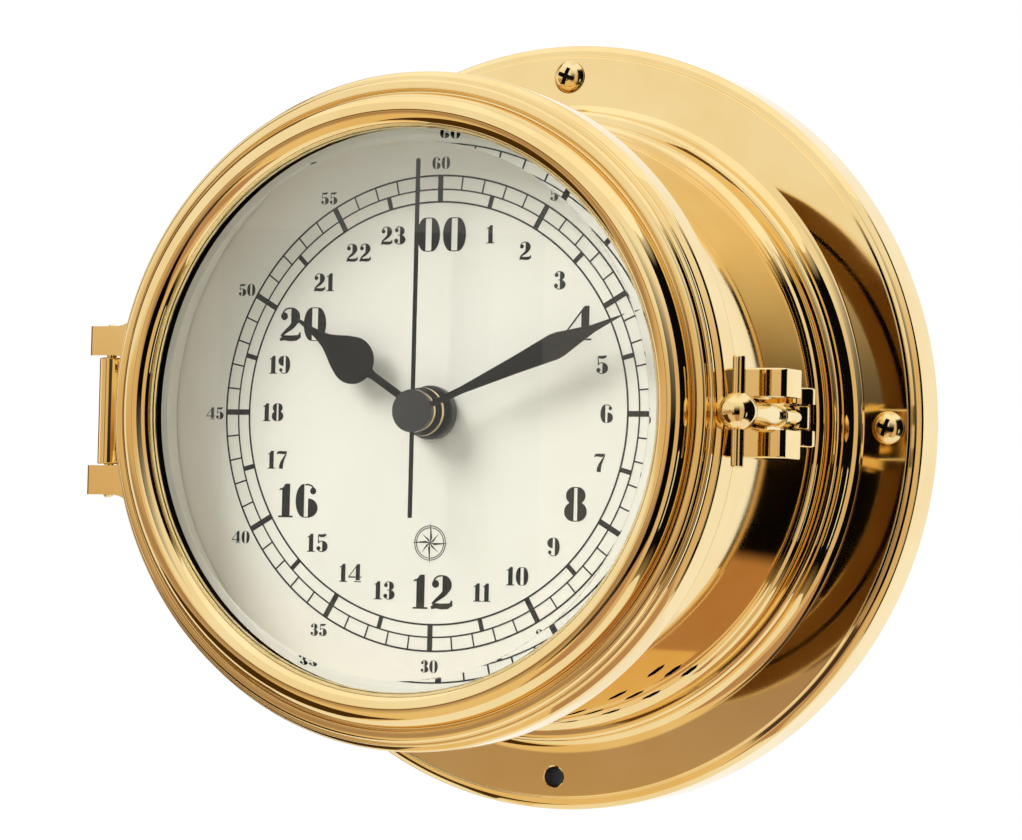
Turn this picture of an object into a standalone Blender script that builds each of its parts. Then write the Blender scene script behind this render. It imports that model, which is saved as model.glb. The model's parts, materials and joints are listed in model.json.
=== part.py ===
"""Wall-mounted marine clock with a hinged porthole bezel, its 24-hour quartz movement and its latch.

Bench frame used for every size below, in millimetres: x to the right and y up as the dial is read,
h out of the wall towards the reader, with h = 0 on the back of the flange. World space has the same
x, +Z up (12 o'clock) and the dial facing -Y, so world y is -h.
"""
import math

import bpy
import bmesh
from mathutils import Matrix, Vector

MM = 0.001
ROUND = 48            # facets of the large turned rings
SMALL = 20            # facets of small round pieces
GAP = 0.3             # left between pieces that touch
PIN_GAP = 0.25        # round a pin or a screw in its bore

# case drum, flange and rear cover
DRUM_R = 69.8         # outside of the case drum
DRUM_WALL = 2.5
DRUM_TOP = 88.3       # front end of the drum
FLANGE_REACH = 20.2   # how far the flange stands out past the drum
FLANGE_H = 12.6       # height of the flange's front face
FLANGE_SKIN = 4.2     # brass over the hollow back
RIM_WALL = 3.8        # outer wall of the hollow back
SCREW_INSET = 7.6     # bulkhead screws, in from the rim
SHANK_R = 2.1
HEAD_R = 3.85
LIP_H = 4.0           # seat of the rear cover in the flange
LIP_THICK = 2.6
LIP_WIDE = 4.7
COVER_THICK = 1.4
COVER_SCREWS = (30, 150, 270)
COVER_SHANK_R = 0.85
VENT_ROWS = 9
VENT_COLUMNS = 3
VENT_STEP = 9.0       # degrees from row to row
VENT_PITCH = 9.3
VENT_HALF = 2.75      # half a vent's length

# bezel, glass and dial
BEZEL_OUT = 5.6       # how far the bezel's wall stands out past the drum
GLASS_LIFT = 2.4      # back of the glass above the drum's edge
GLASS_THICK = 3.9
GLASS_RIM = 1.9       # thickness left at the rim of the bevelled glass
BEVEL_WIDE = 6.1
DIAL_DEEP = 10.3      # face of the dial below the drum's edge
DIAL_THICK = 1.2
DIAL_LEDGE = 3.8

# hinge on the left, latch on the right
PIN_R = 1.15
HINGE_OUT = 12.0      # hinge pin out from the drum
HINGE_DOWN = 6.3      # and below the drum's edge
HINGE_EYE_R = 3.8
KNUCKLE_EYE_R = 2.7
KNUCKLE_HALF = 12.2   # half the length of the knuckle between the arms
ARM_WIDE = 6.7
BOLT_OUT = 10.6       # swing bolt out from the drum
BOLT_DOWN = 25.3      # its pivot below the drum's edge
BOLT_R = 1.65
BOLT_EYE_R = 3.2
BOLT_EYE_HALF = 2.55
CLEVIS_EYE_R = 4.5
CLEVIS_HALF = 6.5
LUG_HALF = 9.7
LUG_REACH = 7.6       # how far the lug stands out past the bolt
SLEEVE_R = 2.65       # shank of the nut
BALL_LIFT = 6.2       # centre of the ball above the drum's edge
BALL_R = 4.2
BAR_R = 1.4
BAR_HALF = 12.0

# quartz movement
CASE_WALL = 1.2
CELL_R = 7.0
ARBOR_R = 0.45        # centre arbor, and the tubes that turn round it
TUBE_WALL = 0.3
HOUR_TUBE_WALL = 0.55
BUSH_WALL = 1.45
PINION = 6            # leaves of the running train's pinions
INTER_TEETH = 30
SECONDS_TEETH = 36
THIRD_TEETH = 45
CENTRE_TEETH = 48
MINUTE_PINION = 8     # leaves of the pinions that drive the hands
MINUTE_TEETH = 32
HOUR_TEETH = 48
ROOT = 1.15           # a tooth's root and tip from the pitch circle, in modules
TIP = 0.75
INTER_SPAN = 8.64     # distances between the gears' centres
THIRD_SPAN = 12.24
MINUTE_SPAN = 10.5
INTER_LINE = 160.0    # and the angles from centre to centre
ROTOR_LINE = 120.0
THIRD_LINE = 60.0
KNOB_LINE = -30.0
KNOB_R = 4.4
ROTOR_R = 3.0

# hands and the time that they show, in degrees clockwise from 12
HOUR_REACH = 40.2
MINUTE_REACH = 54.6
SECOND_REACH = 56.0
SECOND_TAIL = 23.7
CAP_R = 4.8
HOUR_ANGLE = 303.0
MINUTE_ANGLE = 66.9
SECOND_ANGLE = 0.0

# worked out from the sizes above
DRUM_IN = DRUM_R - DRUM_WALL
DRUM_FOOT = FLANGE_H + 1.6
FLANGE_R = DRUM_R + FLANGE_REACH
SCREW_RING_R = FLANGE_R - SCREW_INSET
LIP_WALL_R = DRUM_IN - 0.8
LIP_R = LIP_WALL_R - LIP_WIDE
COVER_SCREW_R = (LIP_WALL_R + LIP_R) / 2
VENT_LOW = FLANGE_H + 15.3
BEZEL_R = DRUM_R + BEZEL_OUT
GLASS_BACK = DRUM_TOP + GLASS_LIFT
GLASS_FRONT = GLASS_BACK + GLASS_THICK
GLASS_SEAT_R = DRUM_R - 3.3
GLASS_R = GLASS_SEAT_R - 0.4
BEVEL_R = GLASS_R - 3.5
DIAL_H = DRUM_TOP - DIAL_DEEP
DIAL_R = DRUM_IN - 0.4
DIAL_BACK = DIAL_H - DIAL_THICK
LEDGE_H = DIAL_BACK - GAP
HINGE_X = -(DRUM_R + HINGE_OUT)
HINGE_H = DRUM_TOP - HINGE_DOWN
ARM_IN = KNUCKLE_HALF + 0.4
ARM_OUT = ARM_IN + ARM_WIDE
BORE_R = PIN_R + PIN_GAP
BOLT_X = DRUM_R + BOLT_OUT
BOLT_PIVOT_H = DRUM_TOP - BOLT_DOWN
LUG_TOP = DRUM_TOP - 1.1
LUG_LOW = DRUM_TOP - 11.4
LUG_SLOT = SLEEVE_R + 0.95
BALL_H = DRUM_TOP + BALL_LIFT
BOX_FRONT = LEDGE_H - 1.0
FRONT_WALL = BOX_FRONT - CASE_WALL
BACK_WALL = FRONT_WALL - 2 * CELL_R - 0.1
BOX_BACK = BACK_WALL - CASE_WALL - 0.1
CENTRE_TUBE_R = ARBOR_R + GAP + TUBE_WALL
HOUR_TUBE_R = CENTRE_TUBE_R + GAP + HOUR_TUBE_WALL
BUSH_R = HOUR_TUBE_R + GAP + 0.1 + BUSH_WALL
# the intermediate wheel just clears the centre arbor
M_ROTOR = (INTER_SPAN - ARBOR_R - GAP) / (INTER_TEETH / 2 + TIP)
ROTOR_SPAN = M_ROTOR * (PINION + INTER_TEETH) / 2
# module of each other pair, from its distance and its teeth
M_INTER = 2 * INTER_SPAN / (PINION + SECONDS_TEETH)
M_THIRD = 2 * THIRD_SPAN / (PINION + THIRD_TEETH)
M_CENTRE = 2 * THIRD_SPAN / (PINION + CENTRE_TEETH)
M_MINUTE = 2 * MINUTE_SPAN / (MINUTE_PINION + MINUTE_TEETH)
M_HOUR = 2 * MINUTE_SPAN / (MINUTE_PINION + HOUR_TEETH)


def step_out(start, distance, degrees):
    turn = math.radians(degrees)
    return (start[0] + distance * math.cos(turn), start[1] + distance * math.sin(turn))


CENTRE = (0.0, 0.0)
THIRD = step_out(CENTRE, THIRD_SPAN, THIRD_LINE)
INTER = step_out(CENTRE, INTER_SPAN, INTER_LINE)
ROTOR = step_out(INTER, ROTOR_SPAN, ROTOR_LINE)
MINUTE = step_out(CENTRE, MINUTE_SPAN, 0.0)
KNOB = step_out(MINUTE, MINUTE_SPAN, KNOB_LINE)
WINDOW_LOW = ROTOR[1] + ROTOR_R + 3.6
WINDOW_HIGH = WINDOW_LOW + 4.5
INNER = WINDOW_HIGH + 5.1                # half the room inside the movement
BOX = INNER + CASE_WALL
CELL_Y = -(INNER - 0.25 - CELL_R)
BAY_WALL = CELL_Y + CELL_R + 0.35
CELL_TIP = INNER - 1.4

BENCH = Matrix.Rotation(math.pi / 2, 4, "X")
TURNS = {
    "h": Matrix.Identity(4),
    "x": Matrix.Rotation(math.pi / 2, 4, "Y"),
    "y": Matrix.Rotation(-math.pi / 2, 4, "X"),
    "side": Matrix.Rotation(math.pi / 2, 4, "X"),
}

for old in list(bpy.data.objects):
    bpy.data.objects.remove(old)

clock = bpy.data.collections.new("marine_clock")
cutters = bpy.data.collections.new("cutters")
bpy.context.scene.collection.children.link(clock)
bpy.context.scene.collection.children.link(cutters)


def material(name, colour, metallic=0.0, roughness=0.4, transmission=0.0):
    mat = bpy.data.materials.new(name)
    mat.use_nodes = True
    shader = mat.node_tree.nodes["Principled BSDF"]
    shader.inputs["Base Color"].default_value = (*colour, 1.0)
    shader.inputs["Metallic"].default_value = metallic
    shader.inputs["Roughness"].default_value = roughness
    shader.inputs["Transmission Weight"].default_value = transmission
    return mat


BRASS = material("polished brass", (0.83, 0.60, 0.25), 1.0, 0.12)
TRAIN_BRASS = material("train brass", (0.72, 0.55, 0.28), 1.0, 0.3)
STEEL = material("steel", (0.55, 0.55, 0.56), 1.0, 0.3)
IRON = material("silicon iron", (0.35, 0.35, 0.36), 1.0, 0.45)
GLASS = material("clear glass", (0.95, 0.97, 0.96), 0.0, 0.02, 1.0)
RUBBER = material("black rubber", (0.02, 0.02, 0.02), 0.0, 0.8)
DIAL_WHITE = material("ivory lacquer", (0.85, 0.83, 0.75), 0.0, 0.45)
HAND_BLACK = material("hand lacquer", (0.04, 0.04, 0.03), 0.0, 0.35)
CASE_PLASTIC = material("black moulding", (0.03, 0.03, 0.035), 0.0, 0.5)
WHITE_PLASTIC = material("white acetal", (0.8, 0.8, 0.78), 0.0, 0.45)
COPPER = material("enamelled copper", (0.65, 0.28, 0.12), 1.0, 0.35)
BOARD = material("circuit board", (0.02, 0.16, 0.07), 0.0, 0.45)
CELL = material("cell sleeve", (0.08, 0.09, 0.11), 0.3, 0.35)
MAGNET = material("sintered magnet", (0.12, 0.12, 0.12), 0.8, 0.4)


def keep(obj, name, mat, cutter=False):
    obj.name = name
    if obj.type == "MESH":
        obj.data.name = name
    for holder in list(obj.users_collection):
        holder.objects.unlink(obj)
    if cutter:
        cutters.objects.link(obj)
        obj.hide_render = True
        obj.display_type = "WIRE"
    else:
        clock.objects.link(obj)
        obj.data.materials.clear()
        obj.data.materials.append(mat)
    return obj


def put(obj, axis, at, spin=0.0):
    obj.matrix_world = (
        BENCH
        @ Matrix.Translation(Vector(at) * MM)
        @ TURNS[axis]
        @ Matrix.Rotation(math.radians(spin), 4, "Z")
    )
    return obj


def area(points):
    total = 0.0
    for (x0, y0), (x1, y1) in zip(points, points[1:] + points[:1]):
        total += x0 * y1 - x1 * y0
    return total / 2


def turned(name, profile, mat, steps=ROUND, axis="h", at=(0, 0, 0), cutter=False):
    """A turned piece. The profile is (radius, height), and it is a closed ring unless it starts and
    ends on the axis. Its outer side runs from the top down."""
    profile = [(float(r), float(h)) for r, h in profile]
    solid = profile[0][0] == 0.0 and profile[-1][0] == 0.0
    if area(profile) > 0:
        profile.reverse()
    mesh = bpy.data.meshes.new(name)
    verts = [(r * MM, 0.0, h * MM) for r, h in profile]
    edges = [(i, i + 1) for i in range(len(verts) - 1)]
    if not solid:
        edges.append((len(verts) - 1, 0))
    mesh.from_pydata(verts, edges, [])
    obj = bpy.data.objects.new(name, mesh)
    clock.objects.link(obj)
    screw = obj.modifiers.new("turn", "SCREW")
    screw.axis = "Z"
    screw.angle = math.tau
    screw.steps = steps
    screw.render_steps = steps
    screw.use_merge_vertices = True
    screw.merge_threshold = 0.00001
    screw.use_smooth_shade = True
    keep(obj, name, mat, cutter)
    return put(obj, axis, at)


def solid_mesh(obj, name):
    """The evaluated shape of an object as plain mesh data."""
    bpy.context.view_layer.update()
    graph = bpy.context.evaluated_depsgraph_get()
    mesh = bpy.data.meshes.new_from_object(obj.evaluated_get(graph))
    build = bmesh.new()
    build.from_mesh(mesh)
    bmesh.ops.remove_doubles(build, verts=build.verts, dist=0.000002)
    bmesh.ops.recalc_face_normals(build, faces=build.faces)
    build.to_mesh(mesh)
    build.free()
    mesh.name = name
    return mesh


def plate(name, outline, low, high, mat, holes=(), axis="h", at=(0, 0, 0), spin=0.0, cutter=False):
    """A flat outline given a thickness along its axis, from low to high."""
    curve = bpy.data.curves.new(name, "CURVE")
    curve.dimensions = "2D"
    curve.fill_mode = "BOTH"
    curve.extrude = (high - low) / 2 * MM
    for ring in [outline, *holes]:
        spline = curve.splines.new("POLY")
        spline.points.add(len(ring) - 1)
        for point, (x, y) in zip(spline.points, ring):
            point.co = (x * MM, y * MM, 0.0, 1.0)
        spline.use_cyclic_u = True
    drawn = bpy.data.objects.new(name + "_outline", curve)
    clock.objects.link(drawn)
    mesh = solid_mesh(drawn, name)
    bpy.data.objects.remove(drawn)
    mesh.transform(Matrix.Translation((0.0, 0.0, (low + high) / 2 * MM)))
    obj = bpy.data.objects.new(name, mesh)
    clock.objects.link(obj)
    keep(obj, name, mat, cutter)
    return put(obj, axis, at, spin)


def circle(radius, count=SMALL, x=0.0, y=0.0, start=0.0):
    steps = [start + math.tau * i / count for i in range(count)]
    return [(x + radius * math.cos(t), y + radius * math.sin(t)) for t in steps]


def arc(cx, cy, radius, first, last, count):
    steps = [math.radians(first + (last - first) * i / count) for i in range(count + 1)]
    return [(cx + radius * math.cos(t), cy + radius * math.sin(t)) for t in steps]


def box(x0, x1, y0, y1):
    return [(x0, y0), (x1, y0), (x1, y1), (x0, y1)]


def rod(name, radius, low, high, mat, axis="h", at=(0, 0, 0), count=SMALL, cutter=False, bore=0.0):
    if bore:
        profile = [(bore, high), (radius, high), (radius, low), (bore, low)]
    else:
        profile = [(0, high), (radius, high), (radius, low), (0, low)]
    return turned(name, profile, mat, count, axis, at, cutter)


def combine(obj, tool, operation):
    """Joins, cuts or trims obj with tool, which is kept hidden among the cutters."""
    step = obj.modifiers.new(operation.lower() + " " + tool.name, "BOOLEAN")
    step.operation = operation
    step.solver = "EXACT"
    step.object = tool
    return obj


def cut(obj, tool):
    return combine(obj, tool, "DIFFERENCE")


def join(obj, tool):
    return combine(obj, tool, "UNION")


def pivot(name, x, y, h, members):
    """An empty on a joint's axis, which carries the pieces that move with it."""
    axis = bpy.data.objects.new(name, None)
    axis.empty_display_size = 0.01
    clock.objects.link(axis)
    axis.matrix_world = BENCH @ Matrix.Translation(Vector((x, y, h)) * MM)
    bpy.context.view_layer.update()
    for obj in members:
        world = obj.matrix_world.copy()
        obj.parent = axis
        obj.matrix_parent_inverse = axis.matrix_world.inverted()
        obj.matrix_world = world


def about(points, r, h):
    """Points given from a place on the piece that they belong to."""
    return [(r + dr, h + dh) for dr, dh in points]


def on_ring(radius, degrees):
    """A point at an angle clockwise from 12 o'clock."""
    turn = math.radians(degrees)
    return (radius * math.sin(turn), radius * math.cos(turn), 0)


# flange: cast brass ring with a hollow back, a lip for the rear cover and four screw bosses
foot = about([(GAP, 7.9), (2.8, 7.9), (4.0, 6.7), (3.1, 4.7), (3.8, 2.1), (5.4, 0.5), (8.0, 0.0)],
             DRUM_R, FLANGE_H)
rim = about([(-2.8, 0.0), (-2.6, -1.1), (-1.5, -1.4), (-0.3, -3.6)], FLANGE_R, FLANGE_H)
hollow_top = FLANGE_H - FLANGE_SKIN
hollow_in = DRUM_R + 6.0
hollow_out = FLANGE_R - RIM_WALL
base_flange = turned("base_flange", foot + rim + [
    (FLANGE_R, 1.2), (FLANGE_R - 1.0, 0.0), (hollow_out, 0.0), (hollow_out, hollow_top),
    (hollow_in, hollow_top), (hollow_in, 0.0), (LIP_WALL_R, 0.0), (LIP_WALL_R, LIP_H),
    (LIP_R, LIP_H), (LIP_R, LIP_H + LIP_THICK), (LIP_WALL_R, LIP_H + LIP_THICK),
    (LIP_WALL_R, DRUM_FOOT - GAP), (DRUM_R + GAP, DRUM_FOOT - GAP),
], BRASS)
places = {"top": 0, "right": 90, "bottom": 180, "left": 270}
for name, place in places.items():
    boss = rod("boss_" + name, HEAD_R + 0.75, 0.0, hollow_top + 0.5, BRASS,
               at=on_ring(SCREW_RING_R, place), count=12, cutter=True)
    join(base_flange, boss)
bore = SHANK_R + PIN_GAP + 0.1
sink = HEAD_R + PIN_GAP + 0.1
for name, place in places.items():
    seat = [(0, FLANGE_H + 1.4), (sink, FLANGE_H + 1.4), (sink, FLANGE_H - 0.3),
            (bore, FLANGE_H - 2.0), (bore, -1.0), (0, -1.0)]
    hole = turned("screw_hole_" + name, seat, BRASS, 12, at=on_ring(SCREW_RING_R, place),
                  cutter=True)
    cut(base_flange, hole)
for place in COVER_SCREWS:
    hole = rod("cover_hole_%d" % place, COVER_SHANK_R + PIN_GAP, LIP_H - 1.0,
               LIP_H + LIP_THICK + 0.9, BRASS, at=(*step_out(CENTRE, COVER_SCREW_R, place), 0),
               count=8, cutter=True)
    cut(base_flange, hole)

# oval-head screws with a cross recess; their length beyond the wall plane is left off
recess = HEAD_R - 1.85
for name in ("top", "right", "left"):
    at = on_ring(SCREW_RING_R, places[name])
    head = [(0, 2.3), (1.6, 2.1), (HEAD_R - 0.85, 1.3), (HEAD_R - 0.05, 0.15), (HEAD_R, -0.2),
            (SHANK_R, -1.95)]
    screw = turned("mounting_screw_" + name,
                   about(head, 0, FLANGE_H) + [(SHANK_R, 0.4), (0, 0.4)], BRASS, SMALL, at=at)
    for mark, half_x, half_y, depth in (("a", recess, 0.45, 0.6), ("b", 0.45, recess, 0.7)):
        slot = plate("recess_%s_%s" % (mark, name), box(-half_x, half_x, -half_y, half_y),
                     FLANGE_H + depth, FLANGE_H + depth + 2.8, BRASS, at=at, spin=20.0,
                     cutter=True)
        cut(screw, slot)

# rear cover, with a hole over the setting knob, and its screws
cover_top = LIP_H - GAP
cover_back = cover_top - COVER_THICK
cover = plate("rear_cover", circle(LIP_WALL_R - GAP, ROUND), cover_back, cover_top, STEEL,
              holes=[circle(KNOB_R + 2.6, 24, *KNOB)])
for place in COVER_SCREWS:
    at = (*step_out(CENTRE, COVER_SCREW_R, place), 0)
    hole = rod("cover_clear_%d" % place, COVER_SHANK_R + GAP, cover_back - 1.3, cover_top + 1.3,
               STEEL, at=at, count=8, cutter=True)
    cut(cover, hole)
    head = about([(0, -1.4), (1.5, -1.4), (1.8, -1.0), (1.8, -GAP), (COVER_SHANK_R, -GAP)],
                 0, cover_back)
    screw_end = LIP_H + LIP_THICK - 0.4
    turned("cover_screw_%d" % place, head + [(COVER_SHANK_R, screw_end), (0, screw_end)], STEEL,
           10, at=at)

# case drum with its bead, its ledge for the dial, the hinge knuckle, the latch clevis and the vents
bead = about([(0.0, 13.8), (0.8, 12.1), (1.6, 11.5), (1.7, 9.9), (1.0, 8.5), (0.0, 8.3)],
             DRUM_R, FLANGE_H)
ledge_low = LEDGE_H - 2.2
ledge_r = DRUM_IN - DIAL_LEDGE
drum = turned("case_drum", [(DRUM_R - 0.5, DRUM_TOP), (DRUM_R, DRUM_TOP - 0.5)] + bead + [
    (DRUM_R, DRUM_FOOT), (DRUM_IN, DRUM_FOOT), (DRUM_IN, ledge_low), (ledge_r, ledge_low),
    (ledge_r, LEDGE_H), (DRUM_IN, LEDGE_H), (DRUM_IN, DRUM_TOP),
], BRASS)
root = 1.6
knuckle = plate(
    "hinge_knuckle",
    about([(root, -20.0), (root, -11.0), (-1.7, -9.0), (-4.2, -5.0)], -DRUM_R, HINGE_H)
    + [(HINGE_X + 2.2, HINGE_H - 1.6)]
    + arc(HINGE_X, HINGE_H, KNUCKLE_EYE_R, -24, 228, 12)
    + [(HINGE_X + 3.8, HINGE_H - 6.4), (-DRUM_R - 3.4, HINGE_H - 15.5)],
    -KNUCKLE_HALF, KNUCKLE_HALF, BRASS, axis="side", cutter=True,
)
join(drum, knuckle)
clevis_root = CLEVIS_EYE_R + 3.0
clevis = plate(
    "latch_clevis",
    [(DRUM_R - root, BOLT_PIVOT_H - clevis_root)]
    + arc(BOLT_X, BOLT_PIVOT_H, CLEVIS_EYE_R, -98, 98, 12)
    + [(DRUM_R - root, BOLT_PIVOT_H + clevis_root)],
    -CLEVIS_HALF, CLEVIS_HALF, BRASS, axis="side", cutter=True,
)
join(drum, clevis)
cut(drum, rod("knuckle_bore", BORE_R, -KNUCKLE_HALF - 3, KNUCKLE_HALF + 3, BRASS, axis="y",
              at=(HINGE_X, 0, HINGE_H), count=12, cutter=True))
clevis_slot = BOLT_EYE_HALF + 0.35
cut(drum, plate("clevis_slot",
                box(BOLT_X - BOLT_EYE_R - 1.8, BOLT_X + 10, BOLT_PIVOT_H - 13, BOLT_PIVOT_H + 13),
                -clevis_slot, clevis_slot, BRASS, axis="side", cutter=True))
cut(drum, rod("clevis_bore", BORE_R, -CLEVIS_HALF - 3, CLEVIS_HALF + 3, BRASS, axis="y",
              at=(BOLT_X, 0, BOLT_PIVOT_H), count=12, cutter=True))
point = VENT_HALF - 1.45
vent = [(-point, -1.45), (point, -1.45), (VENT_HALF, 0.0), (point, 1.45), (-point, 1.45),
        (-VENT_HALF, 0.0)]
for row in range(VENT_ROWS):
    turn = VENT_STEP * (row - (VENT_ROWS - 1) / 2)
    for column in range(VENT_COLUMNS):
        height = VENT_LOW + VENT_PITCH * column
        tool = plate("vent_%d_%d" % (row, column), vent, DRUM_IN - 3, DRUM_R + 3, BRASS,
                     cutter=True)
        tool.matrix_world = (
            BENCH
            @ Matrix.Translation((0.0, 0.0, height * MM))
            @ Matrix.Rotation(math.radians(turn), 4, "Z")
            @ Matrix.Rotation(math.radians(90), 4, "X")
        )
        cut(drum, tool)

# bezel ring: front torus, bead lines and skirt, with its two hinge arms and the forked latch lug
front = about([
    (-7.6, 8.1), (-6.6, 10.3), (-4.2, 11.3), (-1.8, 10.5), (-0.3, 8.6), (0.7, 7.7), (2.2, 7.7),
    (3.4, 6.6), (3.4, 5.3), (4.4, 4.9), (4.6, 3.2),
], DRUM_R, DRUM_TOP)
skirt = about([(0, 1.5), (0, -4.8), (-1.0, -5.8)], BEZEL_R, DRUM_TOP)
groove_in = DRUM_IN + 0.4
groove_out = DRUM_R + 0.6
groove_top = DRUM_TOP + 2.3
seat_top = GLASS_FRONT + GAP
opening_r = DRUM_R - 7.6
bezel = turned("bezel_ring", front + skirt + [
    (groove_out, DRUM_TOP - 5.8), (groove_out, groove_top), (groove_in, groove_top),
    (groove_in, DRUM_TOP + 0.4), (GLASS_SEAT_R, DRUM_TOP + 0.4), (GLASS_SEAT_R, seat_top),
    (opening_r + 0.3, seat_top), (opening_r, seat_top + 0.4),
], BRASS)
arm_side = (
    [(HINGE_X + 3.2, HINGE_H - 2.4), (-BEZEL_R + 0.1, DRUM_TOP - 5.6),
     (-DRUM_R + 1.8, DRUM_TOP - 5.6), (-DRUM_R + 1.8, DRUM_TOP + 0.3),
     (-BEZEL_R - 0.2, DRUM_TOP + 0.3), (HINGE_X + 2.4, HINGE_H + 3.2)]
    + arc(HINGE_X, HINGE_H, HINGE_EYE_R, 62, 320, 16)
)
arm_end = HINGE_X - HINGE_EYE_R - 0.9
arm_face = (
    [(arm_end, ARM_IN)]
    + about([(-3.4, 0.0), (-1.8, -0.6), (-0.6, -1.8), (0.2, -3.4), (3.4, -3.4)], -BEZEL_R, ARM_IN)
    + about([(4.7, -2.8), (6.8, 4.5), (3.7, 4.3), (2.0, 2.1), (-0.4, 0.5), (-3.4, 0.0)],
            -BEZEL_R, ARM_OUT)
    + [(arm_end, ARM_OUT)]
)
for sign, name in ((1, "upper"), (-1, "lower")):
    face = [(x, sign * y) for x, y in arm_face]
    arm = plate("hinge_arm_" + name, face, HINGE_H - 6, HINGE_H + 10, BRASS, cutter=True)
    side = plate("arm_side_" + name, arm_side, -ARM_OUT - 11, ARM_OUT + 11, BRASS, axis="side",
                 cutter=True)
    combine(arm, side, "INTERSECT")
    join(bezel, arm)
lug_end = BOLT_X + LUG_REACH
lug = plate(
    "latch_lug",
    [(BEZEL_R - 2.6, LUG_LOW), (lug_end - 0.8, LUG_LOW), (lug_end, LUG_LOW + 0.8),
     (lug_end, LUG_TOP - 2.0), (lug_end - 0.2, LUG_TOP - 1.0), (lug_end - 1.0, LUG_TOP - 0.2),
     (lug_end - 2.0, LUG_TOP), (BEZEL_R - 2.6, LUG_TOP)],
    -LUG_HALF, LUG_HALF, BRASS, axis="side", cutter=True,
)
join(bezel, lug)
cut(bezel, plate("lug_slot", [(lug_end + 4, -LUG_SLOT), (lug_end + 4, LUG_SLOT)]
                 + arc(BOLT_X + 0.6, 0.0, LUG_SLOT, 90, 270, 8),
                 LUG_LOW - 7, LUG_TOP + 8, BRASS, cutter=True))
cut(bezel, rod("arm_bore", BORE_R, -ARM_OUT - 3, ARM_OUT + 3, BRASS, axis="y",
               at=(HINGE_X, 0, HINGE_H), count=12, cutter=True))

rim_front = GLASS_BACK + GLASS_RIM
glass = turned("glass", [
    (0, GLASS_FRONT), (BEVEL_R - BEVEL_WIDE, GLASS_FRONT), (BEVEL_R, rim_front),
    (GLASS_R, rim_front), (GLASS_R, GLASS_BACK), (0, GLASS_BACK),
], GLASS)
seal_r = GLASS_SEAT_R - GAP
glass_gasket = turned("glass_gasket", [
    (seal_r - 2.8, seat_top - GAP), (seal_r, seat_top - GAP), (seal_r, rim_front + GAP),
    (seal_r - 2.8, rim_front + GAP),
], RUBBER)
glass_ring = turned("glass_retaining_ring", [
    (seal_r - 3.6, GLASS_BACK - GAP), (seal_r, GLASS_BACK - GAP), (seal_r, DRUM_TOP + 0.6),
    (seal_r - 3.2, DRUM_TOP + 0.6),
], BRASS)
bezel_gasket = turned("bezel_gasket", [
    (groove_in + GAP, groove_top - GAP), (groove_out - GAP, groove_top - GAP),
    (groove_out - GAP, DRUM_TOP + GAP), (groove_in + GAP, DRUM_TOP + GAP),
], RUBBER)


def pin_shape(radius, half):
    """Profile of a plain pin with rounded ends."""
    return [(0, half), (radius - 0.4, half - 0.1), (radius, half - 0.6), (radius, 0.6 - half),
            (radius - 0.4, 0.1 - half), (0, -half)]


turned("hinge_pin", pin_shape(PIN_R, ARM_OUT + 0.6), STEEL, 12, axis="y",
       at=(HINGE_X, 0, HINGE_H))
pivot("bezel_hinge_axis", HINGE_X, 0, HINGE_H,
      [bezel, glass, glass_gasket, glass_ring, bezel_gasket])

# swing bolt, its pivot pin, the ball nut and its tommy bar
turned("latch_pivot_pin", pin_shape(PIN_R, CLEVIS_HALF + 0.8), STEEL, 12, axis="y",
       at=(BOLT_X, 0, BOLT_PIVOT_H))
bolt_end = BALL_H - 4.9
shoulder = BOLT_PIVOT_H + 10.4
bolt = turned("swing_bolt", [
    (0, bolt_end), (BOLT_R - 0.35, bolt_end), (BOLT_R, bolt_end - 0.4), (BOLT_R, shoulder + 0.2),
    (BOLT_R + 0.85, shoulder - 0.2), (BOLT_R + 0.85, BOLT_PIVOT_H + 1.6), (0, BOLT_PIVOT_H + 1.6),
], BRASS, SMALL, at=(BOLT_X, 0, 0))
eye = plate("bolt_eye", circle(BOLT_EYE_R, SMALL, BOLT_X, BOLT_PIVOT_H), -BOLT_EYE_HALF,
            BOLT_EYE_HALF, BRASS, axis="side", cutter=True)
join(bolt, eye)
cut(bolt, rod("eye_bore", BORE_R, -BOLT_EYE_HALF - 3, BOLT_EYE_HALF + 3, BRASS, axis="y",
              at=(BOLT_X, 0, BOLT_PIVOT_H), count=12, cutter=True))
ball = [(BALL_R * math.sin(math.radians(t)), BALL_H + BALL_R * math.cos(math.radians(t)))
        for t in (18, 36, 54, 72, 90, 108, 126, 141)]
nut_bore = BOLT_R + GAP
nut_end = LUG_LOW + 0.7
bore_top = BALL_H - BAR_R - 0.7
nut = turned("latch_nut", [(0, BALL_H + BALL_R)] + ball + [
    (SLEEVE_R, nut_end + 0.4), (SLEEVE_R - 0.25, nut_end), (nut_bore, nut_end),
    (nut_bore, bore_top), (0, bore_top),
], BRASS, SMALL, at=(BOLT_X, 0, 0))
cut(nut, rod("bar_bore", BAR_R + 0.2, -BALL_R - 4, BALL_R + 4, BRASS, axis="y",
             at=(BOLT_X, 0, BALL_H), count=12, cutter=True))
bar_shape = [(0, BAR_HALF), (BAR_R - 0.5, BAR_HALF - 0.2), (BAR_R, BAR_HALF - 0.8),
             (BAR_R, 0.8 - BAR_HALF), (BAR_R - 0.5, 0.2 - BAR_HALF), (0, -BAR_HALF)]
bar = turned("tommy_bar", bar_shape, BRASS, 12, axis="y", at=(BOLT_X, 0, BALL_H))
pivot("bolt_swing_axis", BOLT_X, 0, BOLT_PIVOT_H, [bolt])
pivot("nut_turn_axis", BOLT_X, 0, BALL_H, [nut, bar])

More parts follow.
